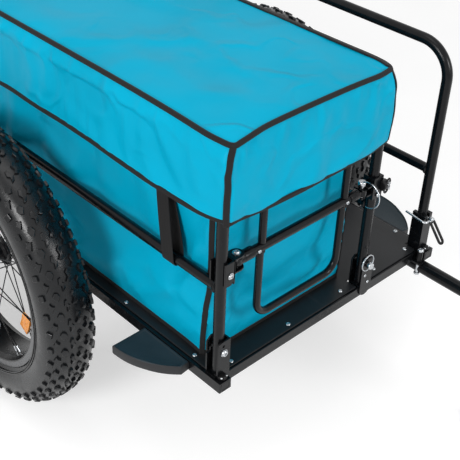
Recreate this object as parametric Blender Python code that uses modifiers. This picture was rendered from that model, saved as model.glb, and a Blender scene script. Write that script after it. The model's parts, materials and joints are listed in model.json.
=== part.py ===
"""Two-wheel beach bike trailer: bed, hoops, gates, fabric tub with its lid, wheels and drawbar.

Metres. +X points to the bicycle, +Y to the trailer's left and +Z up. The origin is on the
ground, under the middle of the whole trailer.
"""

import math

import bmesh
import bpy
from mathutils import Matrix, Vector

# Bed
WHEEL_RADIUS = 0.293
BED_FRONT = 0.200
BED_LENGTH = 1.080
BED_WIDTH = 0.560
RAIL_WIDTH = 0.025
RAIL_HEIGHT = 0.020
RAIL_INSET = 0.014
PANEL_THICKNESS = 0.0025
PANEL_MARGIN = 0.007
GAP = 0.0003

# Hoops and gates
POST_RADIUS = 0.0095
POST_INSET_X = 0.0255
POST_INSET_Y = 0.018
INNER_HOOP_Y = 0.089
HOOP_TOP = 0.430
HOOP_BRACE = 0.192
HOOP_BEND = 0.060
BRACKET_HEIGHT = 0.073
BRACKET_WALL = 0.0025
BOLT_RADIUS = 0.0038
PIN_RADIUS = 0.004
BORE_CLEARANCE = 0.0004
GATE_RAIL_RADIUS = 0.008
GATE_TUBE_RADIUS = 0.0065
GATE_RAIL_HEIGHT = 0.2306
GATE_LOOP_BOTTOM = 0.092
GATE_LOOP_TOP = 0.405
GATE_LEG_RIGHT = -0.180
GATE_LEG_LEFT = 0.012
GATE_TONGUE = 0.015
EYE_RADIUS = 0.010
EYE_HALF_HEIGHT = 0.006
FORK_GAP = 0.0066
FORK_TAB = 0.003
GATE_BEND = 0.028
HINGE_Y = -0.231

# Tub and lid
TUB_RIGHT = -0.247
TUB_LEFT = 0.074
TUB_END_INSET = 0.057
TUB_HEIGHT = 0.405
TUB_WALL = 0.003
TUB_CORNER = 0.012
TUB_LEVELS = (
    (0.0, 0.005, 0.0075),
    (0.030, 0.002, 0.0090),
    (0.090, 0.0, 0.0075),
    (0.140, 0.0, 0.0010),
    (0.170, 0.0, 0.0),
)
LID_WALL = 0.0022
LID_TOP = 0.453
LID_BOARD = 0.012
SKIRT_BOTTOM = 0.316

# Wheels
WHEEL_TRACK = 0.738
RIM_RADIUS = 0.209
RIM_HALF_WIDTH = 0.038
TYRE_HALF_WIDTH = 0.050
AXLE_RADIUS = 0.006
AXLE_BOSS_RADIUS = 0.0095
HUB_HALF_WIDTH = 0.045
HUB_RADIUS = 0.017
FLANGE_RADIUS = 0.030
FLANGE_OFFSET = 0.032
SPOKES_PER_SIDE = 16
SPOKE_RADIUS = 0.0011
WHEEL_STEPS = 48
REFLECTOR_ANGLE = 47.0

# Drawbar and coupling
DRAWBAR_RADIUS = 0.0127
DRAWBAR_Y = 0.255
FRONT_BOLT_X = 0.1955
FRONT_BOLT_Y = 0.2455
REAR_BOLT_X = -0.040
REAR_BOLT_Y = 0.2625
COUPLING_Y = 0.110
COUPLING_Z = 0.335
COUPLING_TIP = 0.9044
STAND_X = 0.400
STAND_DROP = 0.032

# Worked out from the above
HALF_BED = BED_WIDTH / 2
BED_REAR = BED_FRONT - BED_LENGTH
BED_MIDDLE = (BED_FRONT + BED_REAR) / 2
AXLE_Z = WHEEL_RADIUS
RAIL_BOTTOM = AXLE_Z - RAIL_HEIGHT / 2
RAIL_TOP = RAIL_BOTTOM + RAIL_HEIGHT
DECK = RAIL_TOP + GAP + PANEL_THICKNESS
HALF_TRACK = WHEEL_TRACK / 2
POST_Y = HALF_BED - POST_INSET_Y
FRONT_POST_X = BED_FRONT - POST_INSET_X
REAR_POST_X = BED_REAR + POST_INSET_X
PIN_BORE = PIN_RADIUS + BORE_CLEARANCE
BOLT_BORE = BOLT_RADIUS + BORE_CLEARANCE


def from_rail(height):
    """World height of a level measured up from the underside of the side rails."""
    return RAIL_BOTTOM + height


def clear_scene():
    for obj in list(bpy.data.objects):
        bpy.data.objects.remove(obj)


def new_collection(name):
    collection = bpy.data.collections.new(name)
    bpy.context.scene.collection.children.link(collection)
    return collection


clear_scene()
PARTS = new_collection("beach_bike_trailer")
CUTTERS = new_collection("cutters_and_joined_pieces")


def material(name, colour, roughness, metallic=0.0):
    """A Principled material for one finish."""
    made = bpy.data.materials.new(name)
    made.use_nodes = True
    shader = made.node_tree.nodes["Principled BSDF"]
    shader.inputs["Base Color"].default_value = (*colour, 1.0)
    shader.inputs["Roughness"].default_value = roughness
    shader.inputs["Metallic"].default_value = metallic
    made.diffuse_color = (*colour, 1.0)
    return made


BLACK_PAINT = material("black_powder_coat", (0.022, 0.022, 0.024), 0.35)
BLACK_PLASTIC = material("black_plastic", (0.025, 0.028, 0.032), 0.55)
SLATE_PLASTIC = material("slate_foam_plastic", (0.030, 0.045, 0.055), 0.75)
PANEL_SHEET = material("dark_floor_sheet", (0.055, 0.058, 0.064), 0.45)
ZINC = material("bright_zinc", (0.72, 0.74, 0.75), 0.25, 1.0)
TEAL_CLOTH = material("teal_polyester", (0.0, 0.34, 0.50), 0.85)
BLACK_WEB = material("black_webbing", (0.02, 0.02, 0.02), 0.9)
RUBBER = material("tyre_rubber", (0.030, 0.030, 0.032), 0.8)
RIM_PAINT = material("black_rim", (0.028, 0.028, 0.030), 0.4)
AMBER = material("amber_reflector", (0.90, 0.30, 0.02), 0.2)
STEEL = material("steel", (0.50, 0.50, 0.52), 0.35, 1.0)

AXIS_TURN = {
    "X": (0.0, math.pi / 2, 0.0),
    "Y": (-math.pi / 2, 0.0, 0.0),
    "Z": (0.0, 0.0, 0.0),
}


def body(name, pivot=(0.0, 0.0, 0.0), parent=None):
    """An empty on a joint's axis, which carries the pieces that move together."""
    empty = bpy.data.objects.new(name, None)
    empty.empty_display_size = 0.05
    PARTS.objects.link(empty)
    empty.location = pivot
    if parent is not None:
        empty.parent = parent
        empty.location = Vector(pivot) - parent_place(parent)
    return empty


def parent_place(empty):
    place = Vector(empty.location)
    while empty.parent is not None:
        empty = empty.parent
        place += empty.location
    return place


def carry(obj, carrier):
    """Parents a piece to a body's empty, leaving it where it is."""
    obj.parent = carrier
    obj.matrix_parent_inverse = Matrix.Translation(-parent_place(carrier))
    return obj


def put(name, data, finish, location=(0.0, 0.0, 0.0), turn=(0.0, 0.0, 0.0)):
    obj = bpy.data.objects.new(name, data)
    obj.location = location
    obj.rotation_euler = turn
    data.materials.append(finish)
    PARTS.objects.link(obj)
    return obj


def smooth(mesh):
    mesh.shade_smooth()
    mesh.set_sharp_from_angle(angle=math.radians(40))


def box(name, low, high, finish, edge=0.0):
    """A block between two corners, with its edges rounded by edge."""
    low, high = Vector(low), Vector(high)
    mesh = bpy.data.meshes.new(name)
    shape = bmesh.new()
    bmesh.ops.create_cube(shape, size=1.0, matrix=Matrix.Diagonal((*(high - low), 1.0)))
    shape.to_mesh(mesh)
    shape.free()
    obj = put(name, mesh, finish, (low + high) / 2)
    if edge:
        bevel = obj.modifiers.new("rounded_edges", "BEVEL")
        bevel.width = edge
        bevel.segments = 2
    return obj


def cylinder(name, radius, length, centre, axis, finish, sides=20, end_radius=None):
    """A round bar or a cone on centre, along X, Y or Z."""
    mesh = bpy.data.meshes.new(name)
    shape = bmesh.new()
    bmesh.ops.create_cone(
        shape,
        cap_ends=True,
        segments=sides,
        radius1=radius,
        radius2=radius if end_radius is None else end_radius,
        depth=length,
    )
    shape.to_mesh(mesh)
    shape.free()
    smooth(mesh)
    return put(name, mesh, finish, centre, AXIS_TURN[axis])


def outline_plate(name, points, thickness, finish, location, turn=(0.0, 0.0, 0.0), holes=()):
    """A flat plate: a closed outline in its own XY plane, extruded both ways along its Z."""
    curve = bpy.data.curves.new(name, "CURVE")
    curve.dimensions = "2D"
    curve.fill_mode = "BOTH"
    curve.extrude = thickness / 2
    for loop in (points, *holes):
        spline = curve.splines.new("POLY")
        spline.points.add(len(loop) - 1)
        for point, (x, y) in zip(spline.points, loop):
            point.co = (x, y, 0.0, 1.0)
        spline.use_cyclic_u = True
    return put(name, curve, finish, location, turn)


def rounded(corners, bend, steps=6):
    """The corner list with each inner corner replaced by an arc of radius bend."""
    path = [Vector(corners[0])]
    for before, corner, after in zip(corners, corners[1:], corners[2:]):
        corner = Vector(corner)
        back = (Vector(before) - corner).normalized()
        ahead = (Vector(after) - corner).normalized()
        half_angle = back.angle(ahead) / 2
        reach = bend / math.tan(half_angle)
        middle = (back + ahead).normalized() * (bend / math.sin(half_angle))
        centre = corner + middle
        start = (corner + back * reach - centre).normalized()
        end = (corner + ahead * reach - centre).normalized()
        for step in range(steps + 1):
            path.append(centre + start.slerp(end, step / steps) * bend)
    path.append(Vector(corners[-1]))
    return path


def tube(name, path, radius, finish, closed=False, roundness=4):
    """A bar or wire of one radius along a list of points."""
    curve = bpy.data.curves.new(name, "CURVE")
    curve.dimensions = "3D"
    curve.bevel_depth = radius
    curve.bevel_resolution = roundness
    curve.use_fill_caps = True
    spline = curve.splines.new("POLY")
    spline.points.add(len(path) - 1)
    for point, place in zip(spline.points, path):
        point.co = (*place, 1.0)
    spline.use_cyclic_u = closed
    return put(name, curve, finish)


def as_mesh(obj):
    """Replaces a curve object by the mesh it makes, with its caps welded on."""
    if obj.type == "MESH":
        return obj
    name, finish = obj.name, obj.data.materials[0]
    bpy.context.view_layer.update()
    evaluated = obj.evaluated_get(bpy.context.evaluated_depsgraph_get())
    mesh = bpy.data.meshes.new_from_object(evaluated)
    place = obj.matrix_world.copy()
    bpy.data.objects.remove(obj)
    shape = bmesh.new()
    shape.from_mesh(mesh)
    bmesh.ops.remove_doubles(shape, verts=shape.verts, dist=0.00001)
    shape.to_mesh(mesh)
    shape.free()
    mesh.materials.clear()
    smooth(mesh)
    made = put(name, mesh, finish)
    made.matrix_world = place
    return made


def combine(obj, others, operation):
    """Joins other solids to obj, or cuts them from it, and hides them."""
    obj = as_mesh(obj)
    for other in others:
        other = as_mesh(other)
        PARTS.objects.unlink(other)
        CUTTERS.objects.link(other)
        other.hide_render = True
        other.display_type = "WIRE"
        modifier = obj.modifiers.new(other.name, "BOOLEAN")
        modifier.operation = operation
        modifier.object = other
    return obj


def join(obj, *others):
    return combine(obj, others, "UNION")


def cut(obj, *others):
    return combine(obj, others, "DIFFERENCE")


def turned(name, profile, finish, centre, axis="Y", steps=WHEEL_STEPS, closed=True):
    """A turned ring: its section, as radius and offset along the axis, runs down its outer side."""
    mesh = bpy.data.meshes.new(name)
    shape = bmesh.new()
    points = [shape.verts.new((radius, 0.0, offset)) for radius, offset in profile]
    for first, second in zip(points, points[1:]):
        shape.edges.new((first, second))
    if closed:
        shape.edges.new((points[-1], points[0]))
    shape.to_mesh(mesh)
    shape.free()
    obj = put(name, mesh, finish, centre, AXIS_TURN[axis])
    screw = obj.modifiers.new("turning", "SCREW")
    screw.steps = steps
    screw.render_steps = steps
    screw.use_merge_vertices = True
    screw.merge_threshold = 0.0001
    screw.use_smooth_shade = True
    return obj


def rounded_rectangle(x_low, x_high, y_low, y_high, radius, steps=4):
    """Points round a rectangle with round corners, anticlockwise."""
    centres = (
        (x_high - radius, y_high - radius, 0),
        (x_low + radius, y_high - radius, 1),
        (x_low + radius, y_low + radius, 2),
        (x_high - radius, y_low + radius, 3),
    )
    points = []
    for x, y, quarter in centres:
        for step in range(steps + 1):
            angle = (quarter + step / steps) * math.pi / 2
            points.append((x + radius * math.cos(angle), y + radius * math.sin(angle)))
    return points


def arc(centre, radius, start, end, steps):
    """Points on a circle, from one angle in degrees to another."""
    for step in range(steps + 1):
        angle = math.radians(start + (end - start) * step / steps)
        yield (centre[0] + radius * math.cos(angle), centre[1] + radius * math.sin(angle))


def end_sides():
    """The front and the rear end of the bed: a name, its posts' X and the way out along X."""
    return (("front", FRONT_POST_X, 1), ("rear", REAR_POST_X, -1))


def make_bed(frame):
    """The side rails, cross rails and the floor sheet."""
    inner = HALF_BED - RAIL_WIDTH
    for side, sign in (("right", -1), ("left", 1)):
        y_low, y_high = sorted((sign * HALF_BED, sign * inner))
        rail = box(
            f"side_rail_{side}",
            (BED_REAR, y_low, RAIL_BOTTOM),
            (BED_FRONT, y_high, RAIL_TOP),
            BLACK_PAINT,
        )
        boss_end = HALF_TRACK - HUB_HALF_WIDTH - 2 * GAP
        boss_start = HALF_BED - RAIL_WIDTH / 2
        boss = cylinder(
            f"axle_boss_{side}",
            AXLE_BOSS_RADIUS,
            boss_end - boss_start,
            (BED_MIDDLE, sign * (boss_start + boss_end) / 2, AXLE_Z),
            "Y",
            BLACK_PAINT,
        )
        bore = cylinder(
            f"axle_bore_{side}",
            AXLE_RADIUS + BORE_CLEARANCE,
            0.3,
            (BED_MIDDLE, sign * HALF_BED, AXLE_Z),
            "Y",
            BLACK_PAINT,
        )
        bores = [bore]
        if side == "left":
            bores.append(rear_bolt_bore("rail_drawbar_bore"))
        carry(cut(join(rail, boss), *bores), frame)
    across = (
        ("front_cross_rail", BED_FRONT - RAIL_INSET - RAIL_WIDTH / 2),
        ("front_cross_member", BED_MIDDLE + BED_LENGTH / 4),
        ("rear_cross_member", BED_MIDDLE - BED_LENGTH / 4),
        ("rear_cross_rail", BED_REAR + RAIL_INSET + RAIL_WIDTH / 2),
    )
    for name, x in across:
        rail = box(
            name,
            (x - RAIL_WIDTH / 2, -inner + GAP, RAIL_BOTTOM),
            (x + RAIL_WIDTH / 2, inner - GAP, RAIL_TOP),
            BLACK_PAINT,
        )
        if name == "front_cross_rail":
            lug = box(
                "drawbar_lug",
                (x, FRONT_BOLT_Y - 0.009, RAIL_BOTTOM),
                (FRONT_BOLT_X + 0.009, FRONT_BOLT_Y + 0.0085, RAIL_BOTTOM + 0.004),
                BLACK_PAINT,
            )
            lug_bore = cylinder(
                "lug_bore", BOLT_BORE, 0.05, (FRONT_BOLT_X, FRONT_BOLT_Y, RAIL_BOTTOM), "Z", BLACK_PAINT
            )
            rail = cut(join(rail, lug), lug_bore)
        carry(rail, frame)
    beam = cylinder(
        "axle_beam", POST_RADIUS, 2 * (inner - GAP), (BED_MIDDLE, 0.0, AXLE_Z), "Y", BLACK_PAINT, 24
    )
    bores = [
        cylinder(
            f"axle_socket_{side}",
            AXLE_RADIUS + BORE_CLEARANCE,
            0.12,
            (BED_MIDDLE, sign * inner, AXLE_Z),
            "Y",
            BLACK_PAINT,
        )
        for side, sign in (("right", -1), ("left", 1))
    ]
    carry(cut(beam, *bores), frame)
    sheet = box(
        "floor_panel",
        (BED_REAR + RAIL_INSET + 0.004, -HALF_BED + PANEL_MARGIN, RAIL_TOP + GAP),
        (BED_FRONT - RAIL_INSET - 0.004, HALF_BED - PANEL_MARGIN, DECK),
        PANEL_SHEET,
    )
    notches = []
    for end, post_x, way in end_sides():
        for place, y in (("right", -POST_Y), ("inner", INNER_HOOP_Y), ("left", POST_Y)):
            notches.append(
                box(
                    f"notch_{place}_{end}",
                    (post_x - 0.0155, y - 0.0155, RAIL_TOP - 0.01),
                    (post_x + 0.0155, y + 0.0155, DECK + 0.01),
                    PANEL_SHEET,
                )
            )
    carry(cut(sheet, *notches, rear_bolt_bore("panel_drawbar_bore")), frame)


def rear_bolt_bore(name):
    """The upright bore for the drawbar's rear bolt."""
    place = (REAR_BOLT_X, REAR_BOLT_Y, AXLE_Z)
    return cylinder(name, BOLT_BORE, 0.1, place, "Z", BLACK_PAINT)


def make_wheel_guards(frame):
    """The moulded pads that keep feet and bushes off the wheels' front."""
    inner = HALF_BED + GAP
    reach, front, rear, bulge = 0.070, 0.126, 0.013, 0.150
    mid_x, mid_y = (0.128 + rear) / 2, (inner + 0.0166 + HALF_BED + reach) / 2
    chord = Vector((0.128 - rear, (inner + 0.0166) - (HALF_BED + reach)))
    rise = math.sqrt(bulge**2 - (chord.length / 2) ** 2)
    normal = Vector((chord.y, -chord.x)).normalized()
    centre = Vector((mid_x, mid_y)) + normal * rise
    first = math.degrees(math.atan2(HALF_BED + reach - centre.y, rear - centre.x))
    last = math.degrees(math.atan2(inner + 0.0166 - centre.y, 0.128 - centre.x))
    outline = [(rear, inner), *arc(centre, bulge, first, last, 10), (front, inner)]
    for side, sign in (("right", -1), ("left", 1)):
        points = [(x, sign * y) for x, y in outline]
        pad = outline_plate(
            f"wheel_guard_{side}", points, 0.0185, SLATE_PLASTIC, (0.0, 0.0, RAIL_BOTTOM + 0.0098)
        )
        carry(as_mesh(pad), frame)


def post_channel(name, x, y, opens, height):
    """An upright channel round a post's foot, standing on the rail and open towards opens in Y."""
    half = POST_RADIUS + GAP
    wall = BRACKET_WALL
    outer_y = y - opens * (half + 0.002)
    inner_y = y + opens * 0.0125
    low, high = sorted((outer_y - opens * wall, inner_y))
    floor = RAIL_TOP + GAP
    channel = box(
        name,
        (x - half - wall, low, floor),
        (x + half + wall, high, floor + height),
        BLACK_PAINT,
    )
    low, high = sorted((outer_y, inner_y + opens * 0.02))
    hollow = box(
        name + "_hollow",
        (x - half, low, floor + wall),
        (x + half, high, floor + height + 0.02),
        BLACK_PAINT,
    )
    return cut(channel, hollow)


def hoop(name, y):
    """A side hoop: two posts, a top tube and a level brace between the posts."""
    foot = RAIL_TOP + GAP + BRACKET_WALL + GAP
    top = from_rail(HOOP_TOP)
    corners = (
        (REAR_POST_X, y, foot),
        (REAR_POST_X, y, top),
        (FRONT_POST_X, y, top),
        (FRONT_POST_X, y, foot),
    )
    frame_tube = tube(name, rounded(corners, HOOP_BEND), POST_RADIUS, BLACK_PAINT)
    brace = cylinder(
        name + "_brace",
        POST_RADIUS - 0.0008,
        FRONT_POST_X - REAR_POST_X,
        (BED_MIDDLE, y, from_rail(HOOP_BRACE)),
        "X",
        BLACK_PAINT,
        16,
    )
    return join(frame_tube, brace)


def make_fixed_hoops(frame):
    """The right and inner hoops, which hold the tub, with their feet, bolts and ring pins."""
    bolt_z = from_rail(0.070)
    for place, y in (("right", -POST_Y), ("inner", INNER_HOOP_Y)):
        bores = []
        radius = BOLT_BORE if place == "right" else PIN_BORE
        for end, x, way in end_sides():
            bores.append(
                cylinder(f"post_bore_{place}_{end}", radius, 0.04, (x, y, bolt_z), "X", BLACK_PAINT)
            )
        carry(cut(hoop(f"hoop_{place}", y), *bores), frame)
    for end, x, way in end_sides():
        foot = post_channel(f"post_foot_right_{end}", x, -POST_Y, 1, BRACKET_HEIGHT)
        hole = cylinder(
            f"foot_bore_right_{end}", BOLT_BORE, 0.06, (x, -POST_Y, bolt_z), "X", BLACK_PAINT
        )
        spare = cylinder(
            f"spare_hole_{end}",
            0.0026,
            0.02,
            (x + way * 0.011, -POST_Y, from_rail(0.085)),
            "X",
            BLACK_PAINT,
        )
        slot = box(
            f"foot_slot_{end}",
            (x - 0.013, -POST_Y - 0.02, from_rail(0.050)),
            (x - 0.003, -POST_Y - 0.008, from_rail(0.062)),
            BLACK_PAINT,
        )
        carry(cut(foot, hole, spare, slot), frame)
        bolt = cylinder(
            f"post_bolt_{end}", BOLT_RADIUS, 0.034, (x, -POST_Y, bolt_z), "X", ZINC, 16
        )
        heads = [
            cylinder(
                f"bolt_head_{end}_{number}",
                0.0068,
                0.004,
                (x + step * 0.0148, -POST_Y, bolt_z),
                "X",
                ZINC,
                16,
            )
            for number, step in enumerate((-1, 1))
        ]
        carry(join(bolt, *heads), frame)


def make_inner_feet(frame):
    """The inner hoop's feet: a channel with a round-ended plate over the cross rail's face."""
    bolt_z = from_rail(0.070)
    for end, x, way in end_sides():
        foot = post_channel(f"post_foot_inner_{end}", x, INNER_HOOP_Y, 1, 0.060)
        plate_radius = 0.021
        plate_x = BED_FRONT - RAIL_INSET + GAP + BRACKET_WALL / 2
        if way < 0:
            plate_x = BED_REAR + RAIL_INSET - GAP - BRACKET_WALL / 2
        low, high = -0.020, 0.060
        outline = [
            (plate_radius, high),
            (-plate_radius, high),
            *arc((0.0, low + plate_radius), plate_radius, 180, 360, 10),
        ]
        plate = outline_plate(
            f"inner_foot_plate_{end}",
            outline,
            BRACKET_WALL,
            BLACK_PAINT,
            (plate_x, INNER_HOOP_Y + 0.008, RAIL_TOP),
            (math.pi / 2, 0.0, math.pi / 2),
        )
        hole = cylinder(
            f"inner_foot_bore_{end}", PIN_BORE, 0.09, (x, INNER_HOOP_Y, bolt_z), "X", BLACK_PAINT
        )
        carry(cut(join(foot, plate), hole), frame)


def ring_pin(name, tail, head, ring_centre, ring_radius, carrier):
    """A locking pin with a round head, and a wire ring that hangs from it in a YZ plane."""
    tail, head, ring_centre = Vector(tail), Vector(head), Vector(ring_centre)
    along = (head - tail).normalized()
    middle = head + along * 0.003
    pin = tube(name, (tail, head), PIN_RADIUS, ZINC, roundness=3)
    knob = tube(f"{name}_head", (head - along * 0.001, head + along * 0.007), 0.0068, ZINC, roundness=3)
    circle = [
        (ring_centre.x, ring_centre.y + y, ring_centre.z + z)
        for y, z in arc((0.0, 0.0), ring_radius, 0, 342, 19)
    ]
    ring = tube(f"{name}_ring", circle, 0.0016, ZINC, closed=True, roundness=2)
    to_middle = middle - ring_centre
    to_middle.x = 0.0
    lug_end = ring_centre + to_middle.normalized() * ring_radius
    lug = tube(f"{name}_lug", (middle, lug_end), 0.0026, ZINC, roundness=2)
    return carry(join(pin, knob, lug, ring), carrier)


def make_foot_pins(frame):
    """Ring pins that hold the inner hoop's feet. They pull straight out."""
    bolt_z = from_rail(0.070)
    for end, x, way in end_sides():
        pin_body = body(f"foot_pin_{end}", (x, INNER_HOOP_Y, bolt_z), frame)
        head = (x + way * 0.017, INNER_HOOP_Y, bolt_z)
        ring_centre = (x + way * 0.0215, INNER_HOOP_Y + 0.0125, bolt_z + 0.0125)
        ring_pin(
            f"foot_ring_pin_{end}",
            (x - way * 0.016, INNER_HOOP_Y, bolt_z),
            head,
            ring_centre,
            0.0155,
            pin_body,
        )


def make_board_rack(frame):
    """The tall outer hoop for boards, which lifts out of two sockets with its own pins."""
    socket_top = from_rail(0.100)
    pin_z = socket_top - 0.009
    rack = body("board_rack", (BED_MIDDLE, POST_Y, socket_top), frame)
    bores = []
    for end, x, way in end_sides():
        half_x, half_y = 0.0135, 0.0125
        socket = box(
            f"rack_socket_{end}",
            (x - half_x, POST_Y - half_y, RAIL_TOP + GAP),
            (x + half_x, POST_Y + half_y, socket_top),
            BLACK_PAINT,
        )
        leg_bore = cylinder(
            f"socket_bore_{end}",
            POST_RADIUS + GAP,
            0.2,
            (x, POST_Y, RAIL_TOP + BRACKET_WALL + 0.1),
            "Z",
            BLACK_PAINT,
            24,
        )
        slot = box(
            f"socket_slot_{end}",
            (x - 0.03, POST_Y - PIN_BORE - 0.0002, pin_z - PIN_BORE),
            (x + 0.03, POST_Y + PIN_BORE + 0.0002, socket_top + 0.01),
            BLACK_PAINT,
        )
        carry(cut(socket, leg_bore, slot), frame)
        bores.append(
            cylinder(f"rack_leg_bore_{end}", PIN_BORE, 0.04, (x, POST_Y, pin_z), "X", BLACK_PAINT)
        )
    carry(cut(hoop("hoop_board_rack", POST_Y), *bores), rack)
    for end, x, way in end_sides():
        make_rack_pin(end, x, way, pin_z, rack)


def make_rack_pin(end, x, way, pin_z, rack):
    """A pin through the rack's leg, with a wire bail along the socket and a pull loop."""
    pin_body = body(f"rack_pin_{end}", (x, POST_Y, pin_z), rack)
    head_x = x + way * 0.0180
    pin = tube(
        f"rack_locking_pin_{end}",
        ((x - way * 0.019, POST_Y, pin_z), (head_x, POST_Y, pin_z)),
        PIN_RADIUS,
        ZINC,
        roundness=3,
    )
    knob = cylinder(
        f"rack_pin_head_{end}",
        0.0065,
        0.008,
        (head_x + way * 0.003, POST_Y, pin_z),
        "X",
        ZINC,
        16,
    )
    bail_y = POST_Y - 0.019
    bail_path = rounded(
        (
            (head_x + way * 0.003, POST_Y, pin_z),
            (head_x + way * 0.003, bail_y, pin_z + 0.001),
            (x - way * 0.024, bail_y, pin_z + 0.006),
        ),
        0.006,
        4,
    )
    bail = tube(f"rack_pin_bail_{end}", bail_path, 0.0019, ZINC, roundness=2)
    half_width, half_length = 0.0055, 0.0235
    tilt = math.radians(34)
    pull = outline_plate(
        f"rack_pin_pull_{end}",
        slot_outline(half_length, half_width),
        0.004,
        BLACK_PLASTIC,
        (
            head_x + way * (0.0040 + half_length * math.sin(tilt)),
            POST_Y,
            pin_z - half_length * math.cos(tilt),
        ),
        (0.0, math.pi / 2 - way * tilt, 0.0),
        holes=[slot_outline(half_length - 0.003, half_width - 0.0025)],
    )
    carry(join(pin, knob, bail, pull), pin_body)


def slot_outline(half_length, half_width):
    """A long round-ended outline, its length along X."""
    straight = half_length - half_width
    return [
        *arc((straight, 0.0), half_width, -90, 90, 6),
        *arc((-straight, 0.0), half_width, 90, 270, 6),
    ]


def make_gate(end, x, way, frame):
    """A drop-in end gate: its rail turns on a bolt at the right post and locks at the inner post."""
    rail_z = from_rail(GATE_RAIL_HEIGHT)
    gate = body(f"{end}_gate", (x, HINGE_Y, rail_z), frame)
    latch_y = INNER_HOOP_Y - 0.030
    rail = cylinder(
        f"{end}_gate_frame",
        GATE_RAIL_RADIUS,
        latch_y - HINGE_Y - 2 * GATE_TONGUE,
        (x, (latch_y + HINGE_Y) / 2, rail_z),
        "Y",
        BLACK_PAINT,
        16,
    )
    flats = []
    for number, (y, inward) in enumerate(((HINGE_Y, 1), (latch_y, -1))):
        name = f"{end}_gate_eye_{number}"
        height = 2 * EYE_HALF_HEIGHT
        flats.append(cylinder(name, EYE_RADIUS, height, (x, y, rail_z), "Z", BLACK_PAINT))
        low_y, high_y = sorted((y, y + inward * (GATE_TONGUE + 0.006)))
        flats.append(
            box(
                f"{end}_gate_tongue_{number}",
                (x - 0.0065, low_y, rail_z - EYE_HALF_HEIGHT + 0.0002),
                (x + 0.0065, high_y, rail_z + EYE_HALF_HEIGHT - 0.0002),
                BLACK_PAINT,
            )
        )
    low = from_rail(GATE_LOOP_BOTTOM)
    lower = tube(
        f"{end}_gate_lower_loop",
        rounded(
            (
                (x, GATE_LEG_RIGHT, rail_z),
                (x, GATE_LEG_RIGHT, low),
                (x, GATE_LEG_LEFT, low),
                (x, GATE_LEG_LEFT, rail_z),
            ),
            GATE_BEND,
            5,
        ),
        GATE_TUBE_RADIUS,
        BLACK_PAINT,
    )
    bore = [
        cylinder(f"{end}_eye_bore_{number}", PIN_BORE, 0.03, (x, y, rail_z), "Z", BLACK_PAINT)
        for number, y in enumerate((HINGE_Y, latch_y))
    ]
    carry(cut(join(rail, *flats, lower), *bore), gate)
    make_gate_top(end, x, rail_z, gate)
    make_gate_hinge(end, x, way, rail_z, frame)
    make_gate_latch(end, x, way, latch_y, rail_z, gate, frame)


def make_gate_top(end, x, rail_z, gate):
    """The hoop above the gate's rail, bolted to it at both legs."""
    foot = rail_z + GATE_RAIL_RADIUS + GAP
    high = from_rail(GATE_LOOP_TOP)
    hoop_tube = tube(
        f"{end}_gate_upper_loop",
        rounded(
            (
                (x, GATE_LEG_RIGHT + 0.003, foot),
                (x, GATE_LEG_RIGHT + 0.003, high),
                (x, GATE_LEG_LEFT + 0.003, high),
                (x, GATE_LEG_LEFT + 0.003, foot),
            ),
            GATE_BEND,
            5,
        ),
        GATE_TUBE_RADIUS,
        BLACK_PAINT,
    )
    carry(as_mesh(hoop_tube), gate)


def make_gate_hinge(end, x, way, rail_z, frame):
    """The bracket on the right post and the upright bolt that the gate turns on."""
    wrap = POST_RADIUS + GAP
    block = box(
        f"{end}_hinge_bracket",
        (x - wrap - BRACKET_WALL, -POST_Y - wrap - BRACKET_WALL, rail_z - 0.0294),
        (x + wrap + BRACKET_WALL, -POST_Y + wrap + BRACKET_WALL, rail_z + FORK_GAP + FORK_TAB),
        BLACK_PAINT,
    )
    tabs = [
        box(
            f"{end}_hinge_tab_{number}",
            (x - 0.010, -POST_Y + wrap + 0.001, rail_z + low),
            (x + 0.010, HINGE_Y + 0.009, rail_z + low + FORK_TAB),
            BLACK_PAINT,
        )
        for number, low in enumerate((FORK_GAP, -FORK_GAP - FORK_TAB))
    ]
    post_bore = cylinder(
        f"{end}_hinge_post_bore", wrap, 0.2, (x, -POST_Y, rail_z), "Z", BLACK_PAINT, 24
    )
    bolt_bore = cylinder(
        f"{end}_hinge_bolt_bore", PIN_BORE, 0.06, (x, HINGE_Y, rail_z), "Z", BLACK_PAINT
    )
    carry(cut(join(block, *tabs), post_bore, bolt_bore), frame)
    bolt = cylinder(f"{end}_hinge_bolt", BOLT_RADIUS, 0.026, (x, HINGE_Y, rail_z), "Z", ZINC, 16)
    heads = [
        cylinder(
            f"{end}_hinge_bolt_head_{number}",
            0.0068,
            0.004,
            (x, HINGE_Y, rail_z + step * (FORK_GAP + FORK_TAB + 0.0024)),
            "Z",
            ZINC,
            16,
        )
        for number, step in enumerate((-1, 1))
    ]
    carry(join(bolt, *heads), frame)


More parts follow.
